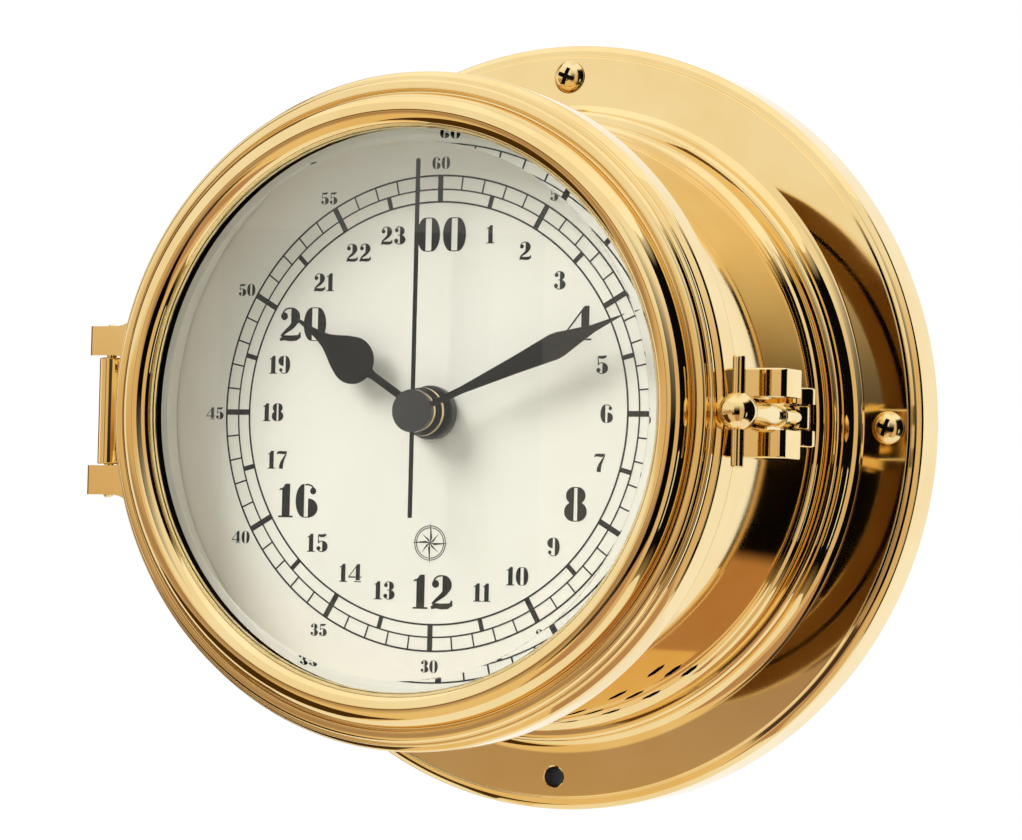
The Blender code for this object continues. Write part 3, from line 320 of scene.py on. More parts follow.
def settle(name, bm, material, body=None, slot=None, replaces=(), uncut=None):
    """Closes a mesh and makes it a piece that rides on its body, for the nodes that it replaces."""
    bmesh.ops.remove_doubles(bm, verts=bm.verts, dist=MERGE * MM)
    bmesh.ops.recalc_face_normals(bm, faces=bm.faces)
    mesh = bpy.data.meshes.new(name)
    bm.to_mesh(mesh)
    bm.free()
    normals = shade_flat_and_round(mesh)
    if uncut:
        shade_like(mesh, normals, uncut)
    mesh.normals_split_custom_set(normals)
    mesh.materials.append(material)
    piece = bpy.data.objects.new(name, mesh)
    bpy.context.scene.collection.objects.link(piece)
    if replaces and body is None:
        body = body_of[replaces[0]]
    if replaces and slot is None:
        slot = slot_of[replaces[0]]
    if body:
        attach(piece, body)
    if replaces:
        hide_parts(*replaces)
    return piece


def profile(bm, points, closed=True):
    """Outline of a turned piece from radius, height and how far each corner is rounded."""
    verts = [bm.verts.new((point[0] * MM, -point[1] * MM, 0.0)) for point in points]
    pairs = list(zip(verts, verts[1:]))
    if closed:
        pairs.append((verts[-1], verts[0]))
    for pair in pairs:
        bm.edges.new(pair)
    for vert, point in zip(verts, points):
        if len(point) > 2 and point[2]:
            steps = max(3, min(10, round(point[2] * 3)))
            room = min(edge.calc_length() for edge in vert.link_edges) * 0.98
            bmesh.ops.bevel(bm, geom=[vert], offset=min(point[2] * MM, room),
                            offset_type="OFFSET", segments=steps, profile=0.5,
                            affect="VERTICES", material=-1)


def turned(points, steps=FINE, closed=True, axis="y", place=(0, 0, 0)):
    """A piece turned on the lathe, about an axis out of the wall, or with axis z up the dial."""
    bm = bmesh.new()
    profile(bm, points, closed)
    bmesh.ops.spin(bm, geom=bm.verts[:] + bm.edges[:], axis=(0, 1, 0), cent=(0, 0, 0),
                   angle=math.tau, steps=steps, use_merge=True)
    bmesh.ops.remove_doubles(bm, verts=bm.verts, dist=MERGE * MM)
    bmesh.ops.recalc_face_normals(bm, faces=bm.faces)
    if axis == "z":
        bmesh.ops.rotate(bm, verts=bm.verts, matrix=Matrix.Rotation(math.radians(-90), 3, "X"))
    bmesh.ops.translate(bm, verts=bm.verts, vec=at(*place))
    return bm


def sheet(points, thick, rounded=0.0, steps=3):
    """A flat shape drawn across and up the dial, then given its thickness out of the wall."""
    bm = bmesh.new()
    face = bm.faces.new([bm.verts.new((x * MM, 0.0, y * MM)) for x, y in points])
    bmesh.ops.recalc_face_normals(bm, faces=bm.faces)
    made = bmesh.ops.extrude_face_region(bm, geom=[face])
    top = [item for item in made["geom"] if isinstance(item, bmesh.types.BMVert)]
    bmesh.ops.translate(bm, verts=top, vec=(0.0, -thick * MM, 0.0))
    bmesh.ops.recalc_face_normals(bm, faces=bm.faces)
    if rounded:
        edges = [edge for edge in bm.edges if edge.calc_face_angle(0.0) > math.radians(40)]
        bmesh.ops.bevel(bm, geom=edges, offset=rounded * MM, offset_type="OFFSET",
                        segments=steps, profile=0.5, affect="EDGES", material=-1)
    return bm


def move(bm, matrix=None, vec=None):
    """Turns or places a whole mesh, and gives it back."""
    if matrix is not None:
        bmesh.ops.transform(bm, verts=bm.verts, matrix=matrix)
    if vec is not None:
        bmesh.ops.translate(bm, verts=bm.verts, vec=vec)
    return bm


def pour(whole, part):
    """Adds a finished mesh to a larger one."""
    mesh = bpy.data.meshes.new("part")
    part.to_mesh(mesh)
    part.free()
    whole.from_mesh(mesh)
    bpy.data.meshes.remove(mesh)


def scratch(bm):
    """A mesh used only to cut or join."""
    mesh = bpy.data.meshes.new("tool")
    bmesh.ops.recalc_face_normals(bm, faces=bm.faces)
    bm.to_mesh(mesh)
    bm.free()
    tool = bpy.data.objects.new("tool", mesh)
    bpy.context.scene.collection.objects.link(tool)
    return tool


def shaped(bm, steps):
    """Cuts tools from a mesh, or joins them to it, and gives the result as a new mesh."""
    base = scratch(bm)
    tools = []
    for operation, tool_bm in steps:
        tool = scratch(tool_bm)
        tools.append(tool)
        change = base.modifiers.new("shape", "BOOLEAN")
        change.operation = operation
        change.object = tool
        change.solver = "EXACT"
    graph = bpy.context.evaluated_depsgraph_get()
    graph.update()
    result = bmesh.new()
    result.from_mesh(base.evaluated_get(graph).to_mesh())
    for item in [base] + tools:
        mesh = item.data
        bpy.data.objects.remove(item)
        bpy.data.meshes.remove(mesh)
    bmesh.ops.remove_doubles(result, verts=result.verts, dist=0.002 * MM)
    bmesh.ops.dissolve_degenerate(result, edges=result.edges, dist=0.001 * MM)
    return result


def arc(x, y, radius, start, end, count):
    """Points of an arc, angles counted from across towards up."""
    span = (end - start) / (count - 1)
    return [(x + radius * math.cos(math.radians(start + span * k)),
             y + radius * math.sin(math.radians(start + span * k))) for k in range(count)]


def clock_point(radius, degrees):
    """A place on the dial, its angle counted clockwise from 12."""
    turn = math.radians(degrees)
    return radius * math.sin(turn), radius * math.cos(turn)


# Flange: turned front with bead and cove at the drum's foot, stepped rim and hollow back
flange = turned([
    (DRUM_R + GAP, 20.5), (73.9, 20.5, 1.5), (73.9, 17.2, 1.2), (72.9, 17.2), (72.9, 13.0, 4.0),
    (87.1, 12.1, 0.3), (87.4, 11.3, 0.2), (88.7, 11.1, 0.4), (FLANGE_R, 10.1, 0.3),
    (FLANGE_R, 0.0, 0.8), (86.2, 0.0), (86.2, FLANGE_BACK, 0.8), (75.8, FLANGE_BACK, 0.8),
    (75.8, 0.0), (LIP_WALL_R, 0.0), (LIP_WALL_R, LIP_H), (LIP_R, LIP_H, 0.3),
    (LIP_R, LIP_TOP, 0.3), (LIP_WALL_R, LIP_TOP, 0.4), (LIP_WALL_R, 13.9), (DRUM_R + GAP, 13.9),
])
changes = []
screw_places = {"top": 0, "right": 90, "bottom": 180, "left": 270}
for angle in screw_places.values():
    x, y = clock_point(SCREW_RING_R, angle)
    boss = turned([(0, 0.0), (BOSS_R, 0.0, 0.3), (BOSS_R, FLANGE_BACK + 0.5), (0, FLANGE_BACK + 0.5)],
                  32, False, place=(x, y, 0))
    changes.append(("UNION", boss))
for side, angle in screw_places.items():
    x, y = clock_point(SCREW_RING_R, angle)
    # the empty hole at the bottom is only deburred, the others are sunk for their screws
    sink_r, sink_h = (2.75, 12.15) if side == "bottom" else (3.93, 10.6)
    changes.append(("DIFFERENCE", turned([
        (0, 15.0), (sink_r, 15.0), (sink_r, 12.35), (SCREW_HOLE_R, sink_h), (SCREW_HOLE_R, -1.0),
        (0, -1.0),
    ], SMALL, False, place=(x, y, 0))))
for angle in sorted(COVER_SCREWS):
    x, y = clock_point(COVER_SCREW_R, angle)
    changes.append(("DIFFERENCE", turned(
        [(0, 8.0), (1.1, 8.0), (1.1, 3.0), (0, 3.0)], 20, False, place=(x, y, 0))))
whole_flange = flange.copy()
flange_piece = settle("flange_casting", shaped(flange, changes), polished_brass,
                      replaces=("base_flange",), uncut=whole_flange)
# The bores of the screw holes get the painted shade, dark brown, so that the holes read as dark hollows
flange_piece.data.materials.append(hole_shade_brass)
for face in flange_piece.data.polygons:
    spot = face.center / MM
    for angle in screw_places.values():
        x, y = clock_point(SCREW_RING_R, angle)
        if math.hypot(spot.x - x, spot.z - y) < SCREW_HOLE_R + 0.05 and -spot.y < 12.0:
            face.material_index = 1

# Oval-head screws with a cross recess
for side in ("top", "right", "left"):
    x, y = clock_point(SCREW_RING_R, screw_places[side])
    head = turned([
        (0, 14.95), (1.7, 14.75, 0.6), (3.1, 13.95, 0.9), (SCREW_R, 12.75, 0.15), (3.8, 12.35),
        (SCREW_SHANK_R, 10.65), (SCREW_SHANK_R, 0.4, 0.2), (0, 0.4),
    ], SMALL, False)
    cross = []
    for turn in (20, 110):
        blade = sheet([(-2.7, -0.56), (2.7, -0.56), (2.7, 0.56), (-2.7, 0.56)], 3.6)
        bottom = [vert for vert in blade.verts if vert.co.y > -1.5 * MM]
        bmesh.ops.scale(blade, verts=bottom, vec=(0.45, 1.0, 0.7))
        move(blade, Matrix.Rotation(math.radians(turn), 4, "Y"), at(0, 0, 12.5))
        cross.append(("DIFFERENCE", blade))
    screw = move(shaped(head, cross), vec=at(x, y, 0))
    node = "mounting_screw_" + side
    screw_piece = settle("oval_head_screw_" + side, screw, turned_brass, replaces=(node,))
    screw_piece.data.materials.append(hole_shade_brass)
    for face in screw_piece.data.polygons:
        # the walls of the cross, which take the painted shade: inside the blades, below the dome, which
        # falls with the radius squared
        spot = face.center / MM
        off = math.hypot(spot.x - x, spot.z - y)
        if off < 2.8 and 12.45 < -spot.y < 14.75 - 0.11 * off * off:
            face.material_index = 1

# Rear cover of pressed steel with a stiffening step, and its slotted screws
cover = turned([
    (0, 3.7), (66.2, 3.7, 0.2), (66.2, 2.3, 0.3), (58.0, 2.3, 0.3), (56.6, 2.7, 0.3), (0, 2.7),
], 160, False)
knob_hole = turned([(0, 5.0), (7.0, 5.0), (7.0, 1.0), (0, 1.0)], SMALL, False,
                   place=(KNOB_X, KNOB_Y, 0))
openings = [("DIFFERENCE", knob_hole)]
for angle in sorted(COVER_SCREWS):
    x, y = clock_point(COVER_SCREW_R, angle)
    openings.append(("DIFFERENCE", turned([(0, 5.0), (1.15, 5.0), (1.15, 1.0), (0, 1.0)], 20,
                                          False, place=(x, y, 0))))
settle("pressed_rear_cover", shaped(cover, openings), zinc_steel, replaces=("rear_cover",))
for angle, node in COVER_SCREWS.items():
    x, y = clock_point(COVER_SCREW_R, angle)
    head = turned([
        (0, 0.9), (1.3, 0.9, 0.25), (1.8, 1.3, 0.3), (1.8, 2.0), (0.85, 2.0), (0.85, 6.2, 0.2),
        (0, 6.2),
    ], 32, False)
    slot = sheet([(-2.5, -0.22), (2.5, -0.22), (2.5, 0.22), (-2.5, 0.22)], 1.0)
    move(slot, Matrix.Rotation(math.radians(angle + 25), 4, "Y"), at(0, 0, 0.4))
    screw = move(shaped(head, [("DIFFERENCE", slot)]), vec=at(x, y, 0))
    settle("slotted_" + node, screw, zinc_steel, replaces=(node,))

# Case drum with its foot bead, dial ledge, knuckle, clevis and vent holes
drum = turned([
    (DRUM_IN, DRUM_TOP), (DRUM_R, DRUM_TOP, 0.5), (DRUM_R, 26.2, 0.6), (71.5, 25.1, 0.9),
    (71.5, 21.8, 0.9), (DRUM_R, 20.9, 0.3), (DRUM_R, 14.2, 0.3), (DRUM_IN, 14.2, 0.3),
    (DRUM_IN, 74.3), (63.5, 74.3, 0.3), (63.5, 76.5, 0.2), (DRUM_IN, 76.5),
])
knuckle_side = (
    [(-68.2, 62.0), (-68.2, 71.0), (-71.5, 73.0), (-74.0, 77.0), (-79.6, 80.4)]
    + arc(HINGE_X, HINGE_H, 2.7, -24, 228, 25)
    + [(-78.0, 75.6), (-73.2, 66.5)]
)
knuckle = sheet(knuckle_side, 2 * KNUCKLE_HALF, 0.35)
clevis_side = (
    [(68.2, 55.5)] + arc(BOLT_X, BOLT_PIVOT_H, 4.5, -98, 98, 29) + [(68.2, 70.5)]
)
clevis = sheet(clevis_side, 2 * CLEVIS_HALF, 0.5)
clevis_gap = sheet([(75.4, 50.0), (90.4, 50.0), (90.4, 76.0), (75.4, 76.0)], 2 * CLEVIS_GAP_HALF)


def upright(bm, half):
    """Lays a shape drawn as across and out of the wall so that its thickness runs up the dial."""
    turn = Matrix(((1, 0, 0, 0), (0, 0, -1, 0), (0, -1, 0, -half * MM), (0, 0, 0, 1)))
    return move(bm, turn)


def bore_up(radius, half, x, h, steps=32):
    """A straight bore up the dial."""
    return turned([(0, half), (radius, half), (radius, -half), (0, -half)], steps, False, "z",
                  (x, 0, h))


changes = [
    ("UNION", upright(knuckle, KNUCKLE_HALF)), ("UNION", upright(clevis, CLEVIS_HALF)),
    ("DIFFERENCE", bore_up(PIN_BORE_R, 15.0, HINGE_X, HINGE_H)),
    ("DIFFERENCE", upright(clevis_gap, CLEVIS_GAP_HALF)),
    ("DIFFERENCE", bore_up(PIN_BORE_R, 10.0, BOLT_X, BOLT_PIVOT_H)),
]
vent = [(-1.3, -1.45), (1.3, -1.45), (2.75, 0.0), (1.3, 1.45), (-1.3, 1.45), (-2.75, 0.0)]
for row in range(VENT_ROWS):
    for height in VENT_HEIGHTS:
        # the hole is drawn on the dial's axis, laid down so that it crosses the wall, and turned
        hole = sheet(vent, 9.0)
        move(hole, vec=(0.0, -64.0 * MM, 0.0))
        move(hole, Matrix.Rotation(math.radians(90), 4, "X"))
        angle = VENT_TURN * (row - VENT_ROWS // 2)
        move(hole, Matrix.Rotation(math.radians(angle), 4, "Y"), at(0, 0, height))
        changes.append(("DIFFERENCE", hole))
whole_drum = drum.copy()
settle("drum_casting", shaped(drum, changes), polished_brass, replaces=("case_drum",),
       uncut=whole_drum)

# Bezel: torus front, cove, beads and skirt, with hinge arms and the forked latch lug
bezel = turned([
    (OPENING_R, 95.3), (OPENING_R, 99.6, 3.8), (69.9, 99.6, 3.85), (69.9, 94.2, 0.3),
    (70.7, 94.2, 0.2), (70.7, 94.9, 0.3), (73.3, 94.9, 1.1), (73.3, 93.2, 0.2), (74.2, 93.2, 0.4),
    (74.2, 91.2, 0.3), (73.9, 90.9), (BEZEL_R, 90.0, 0.5), (BEZEL_R, SKIRT_H, 0.7),
    (70.4, SKIRT_H, 0.2), (70.4, 90.6), (67.7, 90.6), (67.7, 88.7), (66.5, 88.7), (66.5, 94.9),
    (62.6, 94.9, 0.1),
])
arm_face = (
    [(-86.5, ARM_IN)] + arc(-78.8, ARM_IN - 3.7, 3.7, 90, 2, 14)
    + [(-72.0, 9.0), (-70.7, 16.5), (-68.6, 24.2), (-71.0, 24.6)]
    + arc(-78.8, ARM_OUT + 7.0, 7.0, -20, -90, 16) + [(-86.5, ARM_OUT)]
)
arm_side = (
    [(-78.6, 79.6), (-75.3, 82.7), (-68.0, 82.7), (-68.0, 85.9), (-84.8, 85.9), (-85.6, 85.1)]
    + arc(HINGE_X, HINGE_H, 3.8, 180, 320, 21)
)
parts = []
for sign in (1, -1):
    face = sheet([(x, sign * y) for x, y in arm_face], 18.0)
    move(face, vec=at(0, 0, 75.0))
    side = upright(sheet(arm_side, 70.0), 35.0)
    arm = shaped(face, [("INTERSECT", side)])
    parts.append(("UNION", arm))
lug = sheet([
    (72.8, LUG_LOW), (87.2, LUG_LOW), (88.0, 77.7), (88.0, 85.2), (87.8, 86.2), (87.0, 87.0),
    (86.0, LUG_TOP), (72.8, LUG_TOP),
], 2 * LUG_HALF, 0.45)
slot = sheet([(92.0, -LUG_SLOT), (92.0, LUG_SLOT)] + arc(BOLT_X + 0.6, 0.0, LUG_SLOT, 90, 270, 25),
             26.0)
lug = shaped(upright(lug, LUG_HALF), [("DIFFERENCE", move(slot, vec=at(0, 0, 70.0)))])
parts.append(("UNION", lug))
parts.append(("DIFFERENCE", bore_up(PIN_BORE_R, 25.0, HINGE_X, HINGE_H)))
whole_bezel = bezel.copy()
bezel_piece = settle("bezel_casting", shaped(bezel, parts), polished_brass,
                     replaces=("bezel_ring",), uncut=whole_bezel)
bezel_piece.data.materials.append(dull_brass)
for face in bezel_piece.data.polygons:
    # the skirt's lower edge, which faces the wall
    off = math.hypot(face.center.x, face.center.z) / MM
    if face.normal.y > 0.95 and off < BEZEL_R and -face.center.y / MM < SKIRT_H + 0.5:
        face.material_index = 1

# Glass with its bevel, and the rings round it
glass = settle("bevelled_glass", turned([
    (0, GLASS_FRONT), (59.6, GLASS_FRONT, 0.15), (62.5, 92.2, 0.15), (GLASS_R, 92.2, 0.1),
    (GLASS_R, GLASS_BACK, 0.1), (0, GLASS_BACK),
], FINE, False), clear_glass, replaces=("glass",))
glass.visible_shadow = False
settle("glass_seal", turned([
    (63.4, 94.6, 0.2), (66.2, 94.6, 0.2), (66.2, 92.5, 0.2), (63.4, 92.5, 0.2),
], 192), black_rubber, replaces=("glass_gasket",))
settle("retaining_ring", turned([
    (62.6, 90.4, 0.2), (66.2, 90.4, 0.2), (66.2, 88.9, 0.2), (63.0, 88.9, 0.3),
], FINE), polished_brass, replaces=("glass_retaining_ring",))
settle("bezel_seal", turned([
    (68.0, 90.3, 0.3), (70.1, 90.3, 0.3), (70.1, 88.6, 0.3), (68.0, 88.6, 0.3),
], 192), black_rubber, replaces=("bezel_gasket",))
settle("dial_wall_ring", turned([
    (65.4, 88.0, 0.3), (67.0, 88.0, 0.3), (67.0, 78.3), (65.4, 78.3, 0.3),
], FINE), ivory_lacquer, replaces=("dial_ring",))

# Hinge and latch: pins, swing bolt with its eye, ball nut and tommy bar
settle("hinge_pin_rod", turned([
    (0, 19.9), (0.75, 19.8, 0.2), (PIN_R, 19.3, 0.2), (PIN_R, -19.3, 0.2), (0.75, -19.8, 0.2),
    (0, -19.9),
], SMALL, False, "z", (HINGE_X, 0, HINGE_H)), turned_brass, replaces=("hinge_pin",))
settle("latch_pin_rod", turned([
    (0, 7.3), (0.75, 7.2, 0.2), (PIN_R, 6.7, 0.2), (PIN_R, -6.7, 0.2), (0.75, -7.2, 0.2),
    (0, -7.3),
], SMALL, False, "z", (BOLT_X, 0, BOLT_PIVOT_H)), zinc_steel, replaces=("latch_pivot_pin",))
bolt_points = [(0, 89.6), (1.2, 89.6, 0.3), (BOLT_R, 89.1, 0.1)]
for turn in range(22):
    height = 88.9 - THREAD_PITCH * turn
    bolt_points += [(BOLT_R, height), (THREAD_ROOT_R, height - THREAD_PITCH / 2)]
bolt_points += [(BOLT_R, 73.4), (2.5, 73.1, 0.3), (2.5, 64.6), (0, 64.6)]
bolt = turned(bolt_points, SMALL, False, place=(BOLT_X, 0, 0))
eye = turned([(0, 2.55), (3.2, 2.55, 0.35), (3.2, -2.55, 0.35), (0, -2.55)], SMALL, False, "z",
             (BOLT_X, 0, BOLT_PIVOT_H))
eye_bore = bore_up(PIN_BORE_R, 6.0, BOLT_X, BOLT_PIVOT_H)
bolt = shaped(bolt, [("UNION", eye), ("DIFFERENCE", eye_bore)])
settle("threaded_swing_bolt", bolt, turned_brass, replaces=("swing_bolt",))
ball = [(BALL_R * math.sin(math.radians(t)), BALL_H + BALL_R * math.cos(math.radians(t)))
        for t in range(6, 144, 6)]
nut = turned([(0, BALL_H + BALL_R)] + ball + [
    (2.65, 90.9, 0.1), (2.65, 77.6, 0.3), (1.95, 77.6, 0.1), (1.95, 92.4), (0, 92.4),
], 64, False, place=(BOLT_X, 0, 0))
nut = shaped(nut, [("DIFFERENCE", bore_up(BAR_HOLE_R, 8.0, BOLT_X, BALL_H))])
settle("ball_nut", nut, turned_brass, replaces=("latch_nut",))
settle("tommy_bar_rod", turned([
    (0, BAR_HALF), (BAR_R, BAR_HALF, 0.45), (BAR_R, -BAR_HALF, 0.45), (0, -BAR_HALF),
], SMALL, False, "z", (BOLT_X, 0, BALL_H)), turned_brass, replaces=("tommy_bar",))

# Nut of the movement's bush, and the three hands
settle("bush_nut", turned([
    (4.05, 80.4, 0.15), (6.05, 80.4, 0.4), (6.05, 78.3, 0.1), (4.05, 78.3),
], 64), hub_lacquer, replaces=("centre_nut",))


def hand(name, outline, low, thick, boss, angle, rounded):
    """A stamped hand with its turned boss, drawn pointing at 12 and turned to its time."""
    blade = sheet(outline, thick, rounded, 2)
    move(blade, vec=at(0, 0, low))
    made = shaped(blade, [("UNION", turned(boss, 64, boss[0][0] > 0))])
    move(made, Matrix.Rotation(math.radians(angle), 4, "Y"))
    piece = settle(name, made, hand_lacquer, replaces=(name.replace("_blade", "_hand"),))
    piece.data.materials.append(hub_lacquer)
    piece.data.materials.append(turned_brass)
    # the boss is glossy, and the edge of a boss with a bore is bare brass
    boss_r = max(point[0] for point in boss)
    for face in piece.data.polygons:
        off = math.hypot(face.center.x, face.center.z) / MM
        if off < boss_r + 0.02:
            bare = boss[0][0] > 0 and off > boss_r - 0.15 and abs(face.normal.y) < 0.5
            face.material_index = 2 if bare else 1


right = ([(0.85, 4.5), (0.85, 14.6), (1.1, 15.8)] + arc(0, 21.0, 5.3, -72, 22, 19)
         + [(3.9, 25.2), (2.7, 27.2), (1.75, 29.0), (1.1, 31.2), (0.7, 33.6), (0.4, 37.0)])
hand("hour_blade", [(-x, y) for x, y in right] + [(0.0, 40.2)] + right[::-1], 83.5, 0.6,
     [(1.85, 84.4), (5.4, 84.4, 0.2), (5.4, 83.2, 0.2), (1.85, 83.2)], HOUR_ANGLE, 0.14)
right = [(0.7, 3.6), (0.8, 12.0), (1.9, 26.0), (2.9, 36.2), (2.75, 38.0), (2.0, 41.2),
         (0.85, 46.5), (0.3, 52.0)]
hand("minute_blade", [(-x, y) for x, y in right] + [(0.0, 54.6)] + right[::-1], 86.1, 0.5,
     [(1.2, 86.9), (4.6, 86.9, 0.2), (4.6, 85.7, 0.2), (1.2, 85.7)], MINUTE_ANGLE, 0.12)
half = 0.48
hand("second_blade", [(-half, -23.7), (half, -23.7)] + arc(0.0, 55.6, half, 0, 180, 9), 88.1, 0.4,
     [(0, 89.1), (4.8, 89.1, 0.35), (4.8, 87.4, 0.2), (0.6, 87.4), (0.6, 88.8), (0, 88.8)],
     SECOND_ANGLE, 0.08)

# Dial printing: figures, minute track and a compass rose, one thin film of ink
INK_H = DIAL_H + 0.02
INK = 0.05
DIGIT_GAP = 0.10      # between digits, as a share of their height
LARGE_FIGURES = (39.9, 7.6)      # radius and height of every fourth hour
HOUR_FIGURES = (41.6, 4.05)
MINUTE_FIGURES = (56.2, 2.75)
TRACK = (47.2, 50.0, 53.1)       # radii of the three circles
TRACK_LINES = (0.40, 0.34, 0.40)
LARGE_BAR = 1.25
HOUR_BAR = 1.05
# The print stands to the right of the hands' axis, and the minutes low, as the photograph shows them
HOURS_RIGHT = 1.0
PRINT_RIGHT = 0.5
MINUTES_DOWN = 0.3


def ink_face(bm, points):
    """A flat patch of ink from its corners, across and up."""
    return bm.faces.new([bm.verts.new((x, 0.0, y)) for x, y in points])


def dee(bm, inner, outer, low, high):
    """Half of an oval with a straight inner side."""
    made = bmesh.ops.create_circle(bm, cap_ends=True, radius=1.0, segments=28)
    verts = made["verts"]
    geom = verts + list({e for v in verts for e in v.link_edges}) + list(
        {f for v in verts for f in v.link_faces})
    cut = bmesh.ops.bisect_plane(bm, geom=geom, plane_co=(0, 0, 0), plane_no=(-1, 0, 0),
                                 clear_outer=True)
    left = {v for item in cut["geom"] for v in
            ([item] if isinstance(item, bmesh.types.BMVert) else item.verts)}
    left = [v for v in left if v.is_valid]
    for vert in left:
        x, y = vert.co.x, vert.co.y
        vert.co = (inner + (outer - inner) * x, 0.0, (low + high) / 2 + (high - low) / 2 * y)


def blob(bm, x, y, radius):
    """A round drop of ink."""
    made = bmesh.ops.create_circle(bm, cap_ends=True, radius=radius, segments=18)
    for vert in made["verts"]:
        vert.co = (x + vert.co.x, 0.0, y + vert.co.y)


def pen(bm, points):
    """A stroke from points across, up and half its width."""
    left, right_side = [], []
    for number, (x, y, half) in enumerate(points):
        before = points[max(number - 1, 0)]
        after = points[min(number + 1, len(points) - 1)]
        way = Vector((after[0] - before[0], after[1] - before[1]))
        way.normalize()
        left.append((x - way.y * half, y + way.x * half))
        right_side.append((x + way.y * half, y - way.x * half))
    ink_face(bm, right_side + left[::-1])


def bend(x, y, across, up, start, end, half, count=9):
    """Places of a pen along part of an oval."""
    span = (end - start) / (count - 1)
    return [(x + across * math.cos(math.radians(start + span * k)),
             y + up * math.sin(math.radians(start + span * k)), half) for k in range(count)]


def zero(bm):
    dee(bm, -0.10, -0.375, 0.0, 1.0)
    dee(bm, 0.10, 0.375, 0.0, 1.0)
    pen(bm, bend(0, 0.93, 0.2, 0.06, 20, 160, 0.012))
    pen(bm, bend(0, 0.07, 0.2, 0.06, 200, 340, 0.012))


def one(bm):
    ink_face(bm, [(-0.13, 0.0), (0.13, 0.0), (0.13, 1.0), (-0.02, 1.0), (-0.13, 0.86)])
    ink_face(bm, [(-0.24, 0.80), (-0.13, 0.82), (-0.13, 0.88), (-0.20, 0.86)])
    ink_face(bm, [(-0.24, 0.0), (0.24, 0.0), (0.24, 0.05), (-0.24, 0.05)])


def two(bm):
    blob(bm, -0.2, 0.74, 0.115)
    pen(bm, bend(-0.02, 0.78, 0.24, 0.2, 168, 80, 0.022))
    dee(bm, 0.03, 0.33, 0.42, 1.0)
    pen(bm, [(0.14, 0.52, 0.09), (0.02, 0.40, 0.075), (-0.16, 0.27, 0.05), (-0.30, 0.15, 0.03)])
    pen(bm, [(-0.33, 0.03, 0.04), (-0.20, 0.10, 0.075), (0.0, 0.08, 0.085), (0.20, 0.09, 0.085),
             (0.32, 0.14, 0.06), (0.34, 0.26, 0.02)])


def three(bm):
    blob(bm, -0.19, 0.79, 0.11)
    blob(bm, -0.21, 0.20, 0.12)
    pen(bm, bend(-0.02, 0.80, 0.22, 0.18, 168, 80, 0.022))
    pen(bm, bend(-0.02, 0.20, 0.24, 0.18, 192, 280, 0.022))
    dee(bm, 0.02, 0.30, 0.50, 1.0)
    dee(bm, 0.02, 0.36, 0.0, 0.54)
    ink_face(bm, [(-0.10, 0.50), (0.08, 0.50), (0.08, 0.54), (-0.10, 0.54)])


def four(bm):
    ink_face(bm, [(0.05, 0.10), (0.30, 0.10), (0.30, 1.0), (0.18, 1.0), (0.05, 0.86)])
    pen(bm, [(0.16, 0.98, 0.022), (-0.40, 0.28, 0.022)])
    ink_face(bm, [(-0.40, 0.24), (0.02, 0.24), (0.02, 0.31), (-0.40, 0.31)])
    ink_face(bm, [(0.33, 0.24), (0.40, 0.24), (0.40, 0.31), (0.33, 0.31)])
    ink_face(bm, [(-0.04, 0.0), (0.38, 0.0), (0.38, 0.05), (-0.04, 0.05)])


def five(bm):
    ink_face(bm, [(-0.25, 0.48), (-0.20, 0.48), (-0.20, 0.90), (-0.25, 0.90)])
    pen(bm, [(-0.24, 0.93, 0.05), (-0.06, 0.90, 0.08), (0.12, 0.91, 0.08), (0.26, 0.97, 0.04)])
    pen(bm, bend(0.0, 0.44, 0.22, 0.17, 155, 75, 0.022))
    dee(bm, 0.03, 0.36, 0.0, 0.62)
    blob(bm, -0.21, 0.20, 0.12)
    pen(bm, bend(-0.02, 0.20, 0.24, 0.18, 192, 280, 0.022))


def six(bm):
    dee(bm, -0.09, -0.37, 0.0, 1.0)
    dee(bm, 0.05, 0.37, 0.0, 0.57)
    blob(bm, 0.21, 0.79, 0.10)
    pen(bm, bend(0.02, 0.80, 0.22, 0.18, 12, 110, 0.022))
    pen(bm, bend(0.0, 0.07, 0.2, 0.06, 200, 340, 0.012))


def seven(bm):
    pen(bm, [(-0.32, 0.82, 0.03), (-0.24, 0.91, 0.07), (-0.04, 0.91, 0.085), (0.14, 0.89, 0.085),
             (0.28, 0.96, 0.04)])
    pen(bm, [(0.29, 0.90, 0.02), (0.16, 0.66, 0.05), (0.02, 0.40, 0.09), (-0.04, 0.20, 0.115),
             (-0.05, 0.0, 0.12)])


def eight(bm):
    for side in (-1, 1):
        dee(bm, 0.055 * side, 0.31 * side, 0.5, 1.0)
        dee(bm, 0.06 * side, 0.36 * side, 0.0, 0.57)
    pen(bm, bend(0, 0.95, 0.14, 0.04, 10, 170, 0.012, 5))
    pen(bm, bend(0, 0.05, 0.14, 0.04, 190, 350, 0.012, 5))


def nine(bm):
    six(bm)
    bmesh.ops.rotate(bm, verts=bm.verts, cent=(0, 0, 0.5),
                     matrix=Matrix.Rotation(math.radians(180), 3, "Y"))


FIGURES = {"0": (zero, 0.75), "1": (one, 0.46), "2": (two, 0.72), "3": (three, 0.70),
           "4": (four, 0.82), "5": (five, 0.70), "6": (six, 0.74), "7": (seven, 0.66),
           "8": (eight, 0.72), "9": (nine, 0.74)}


def ink_over(bm):
    """Gives flat ink its thickness, towards the viewer."""
    for face in bm.faces:
        face.normal_update()
        if face.normal.y > 0:
            face.normal_flip()
    made = bmesh.ops.extrude_face_region(bm, geom=bm.faces[:])
    top = [item for item in made["geom"] if isinstance(item, bmesh.types.BMVert)]
    bmesh.ops.translate(bm, verts=top, vec=(0.0, -INK * MM, 0.0))
    bmesh.ops.recalc_face_normals(bm, faces=bm.faces)
    return bm


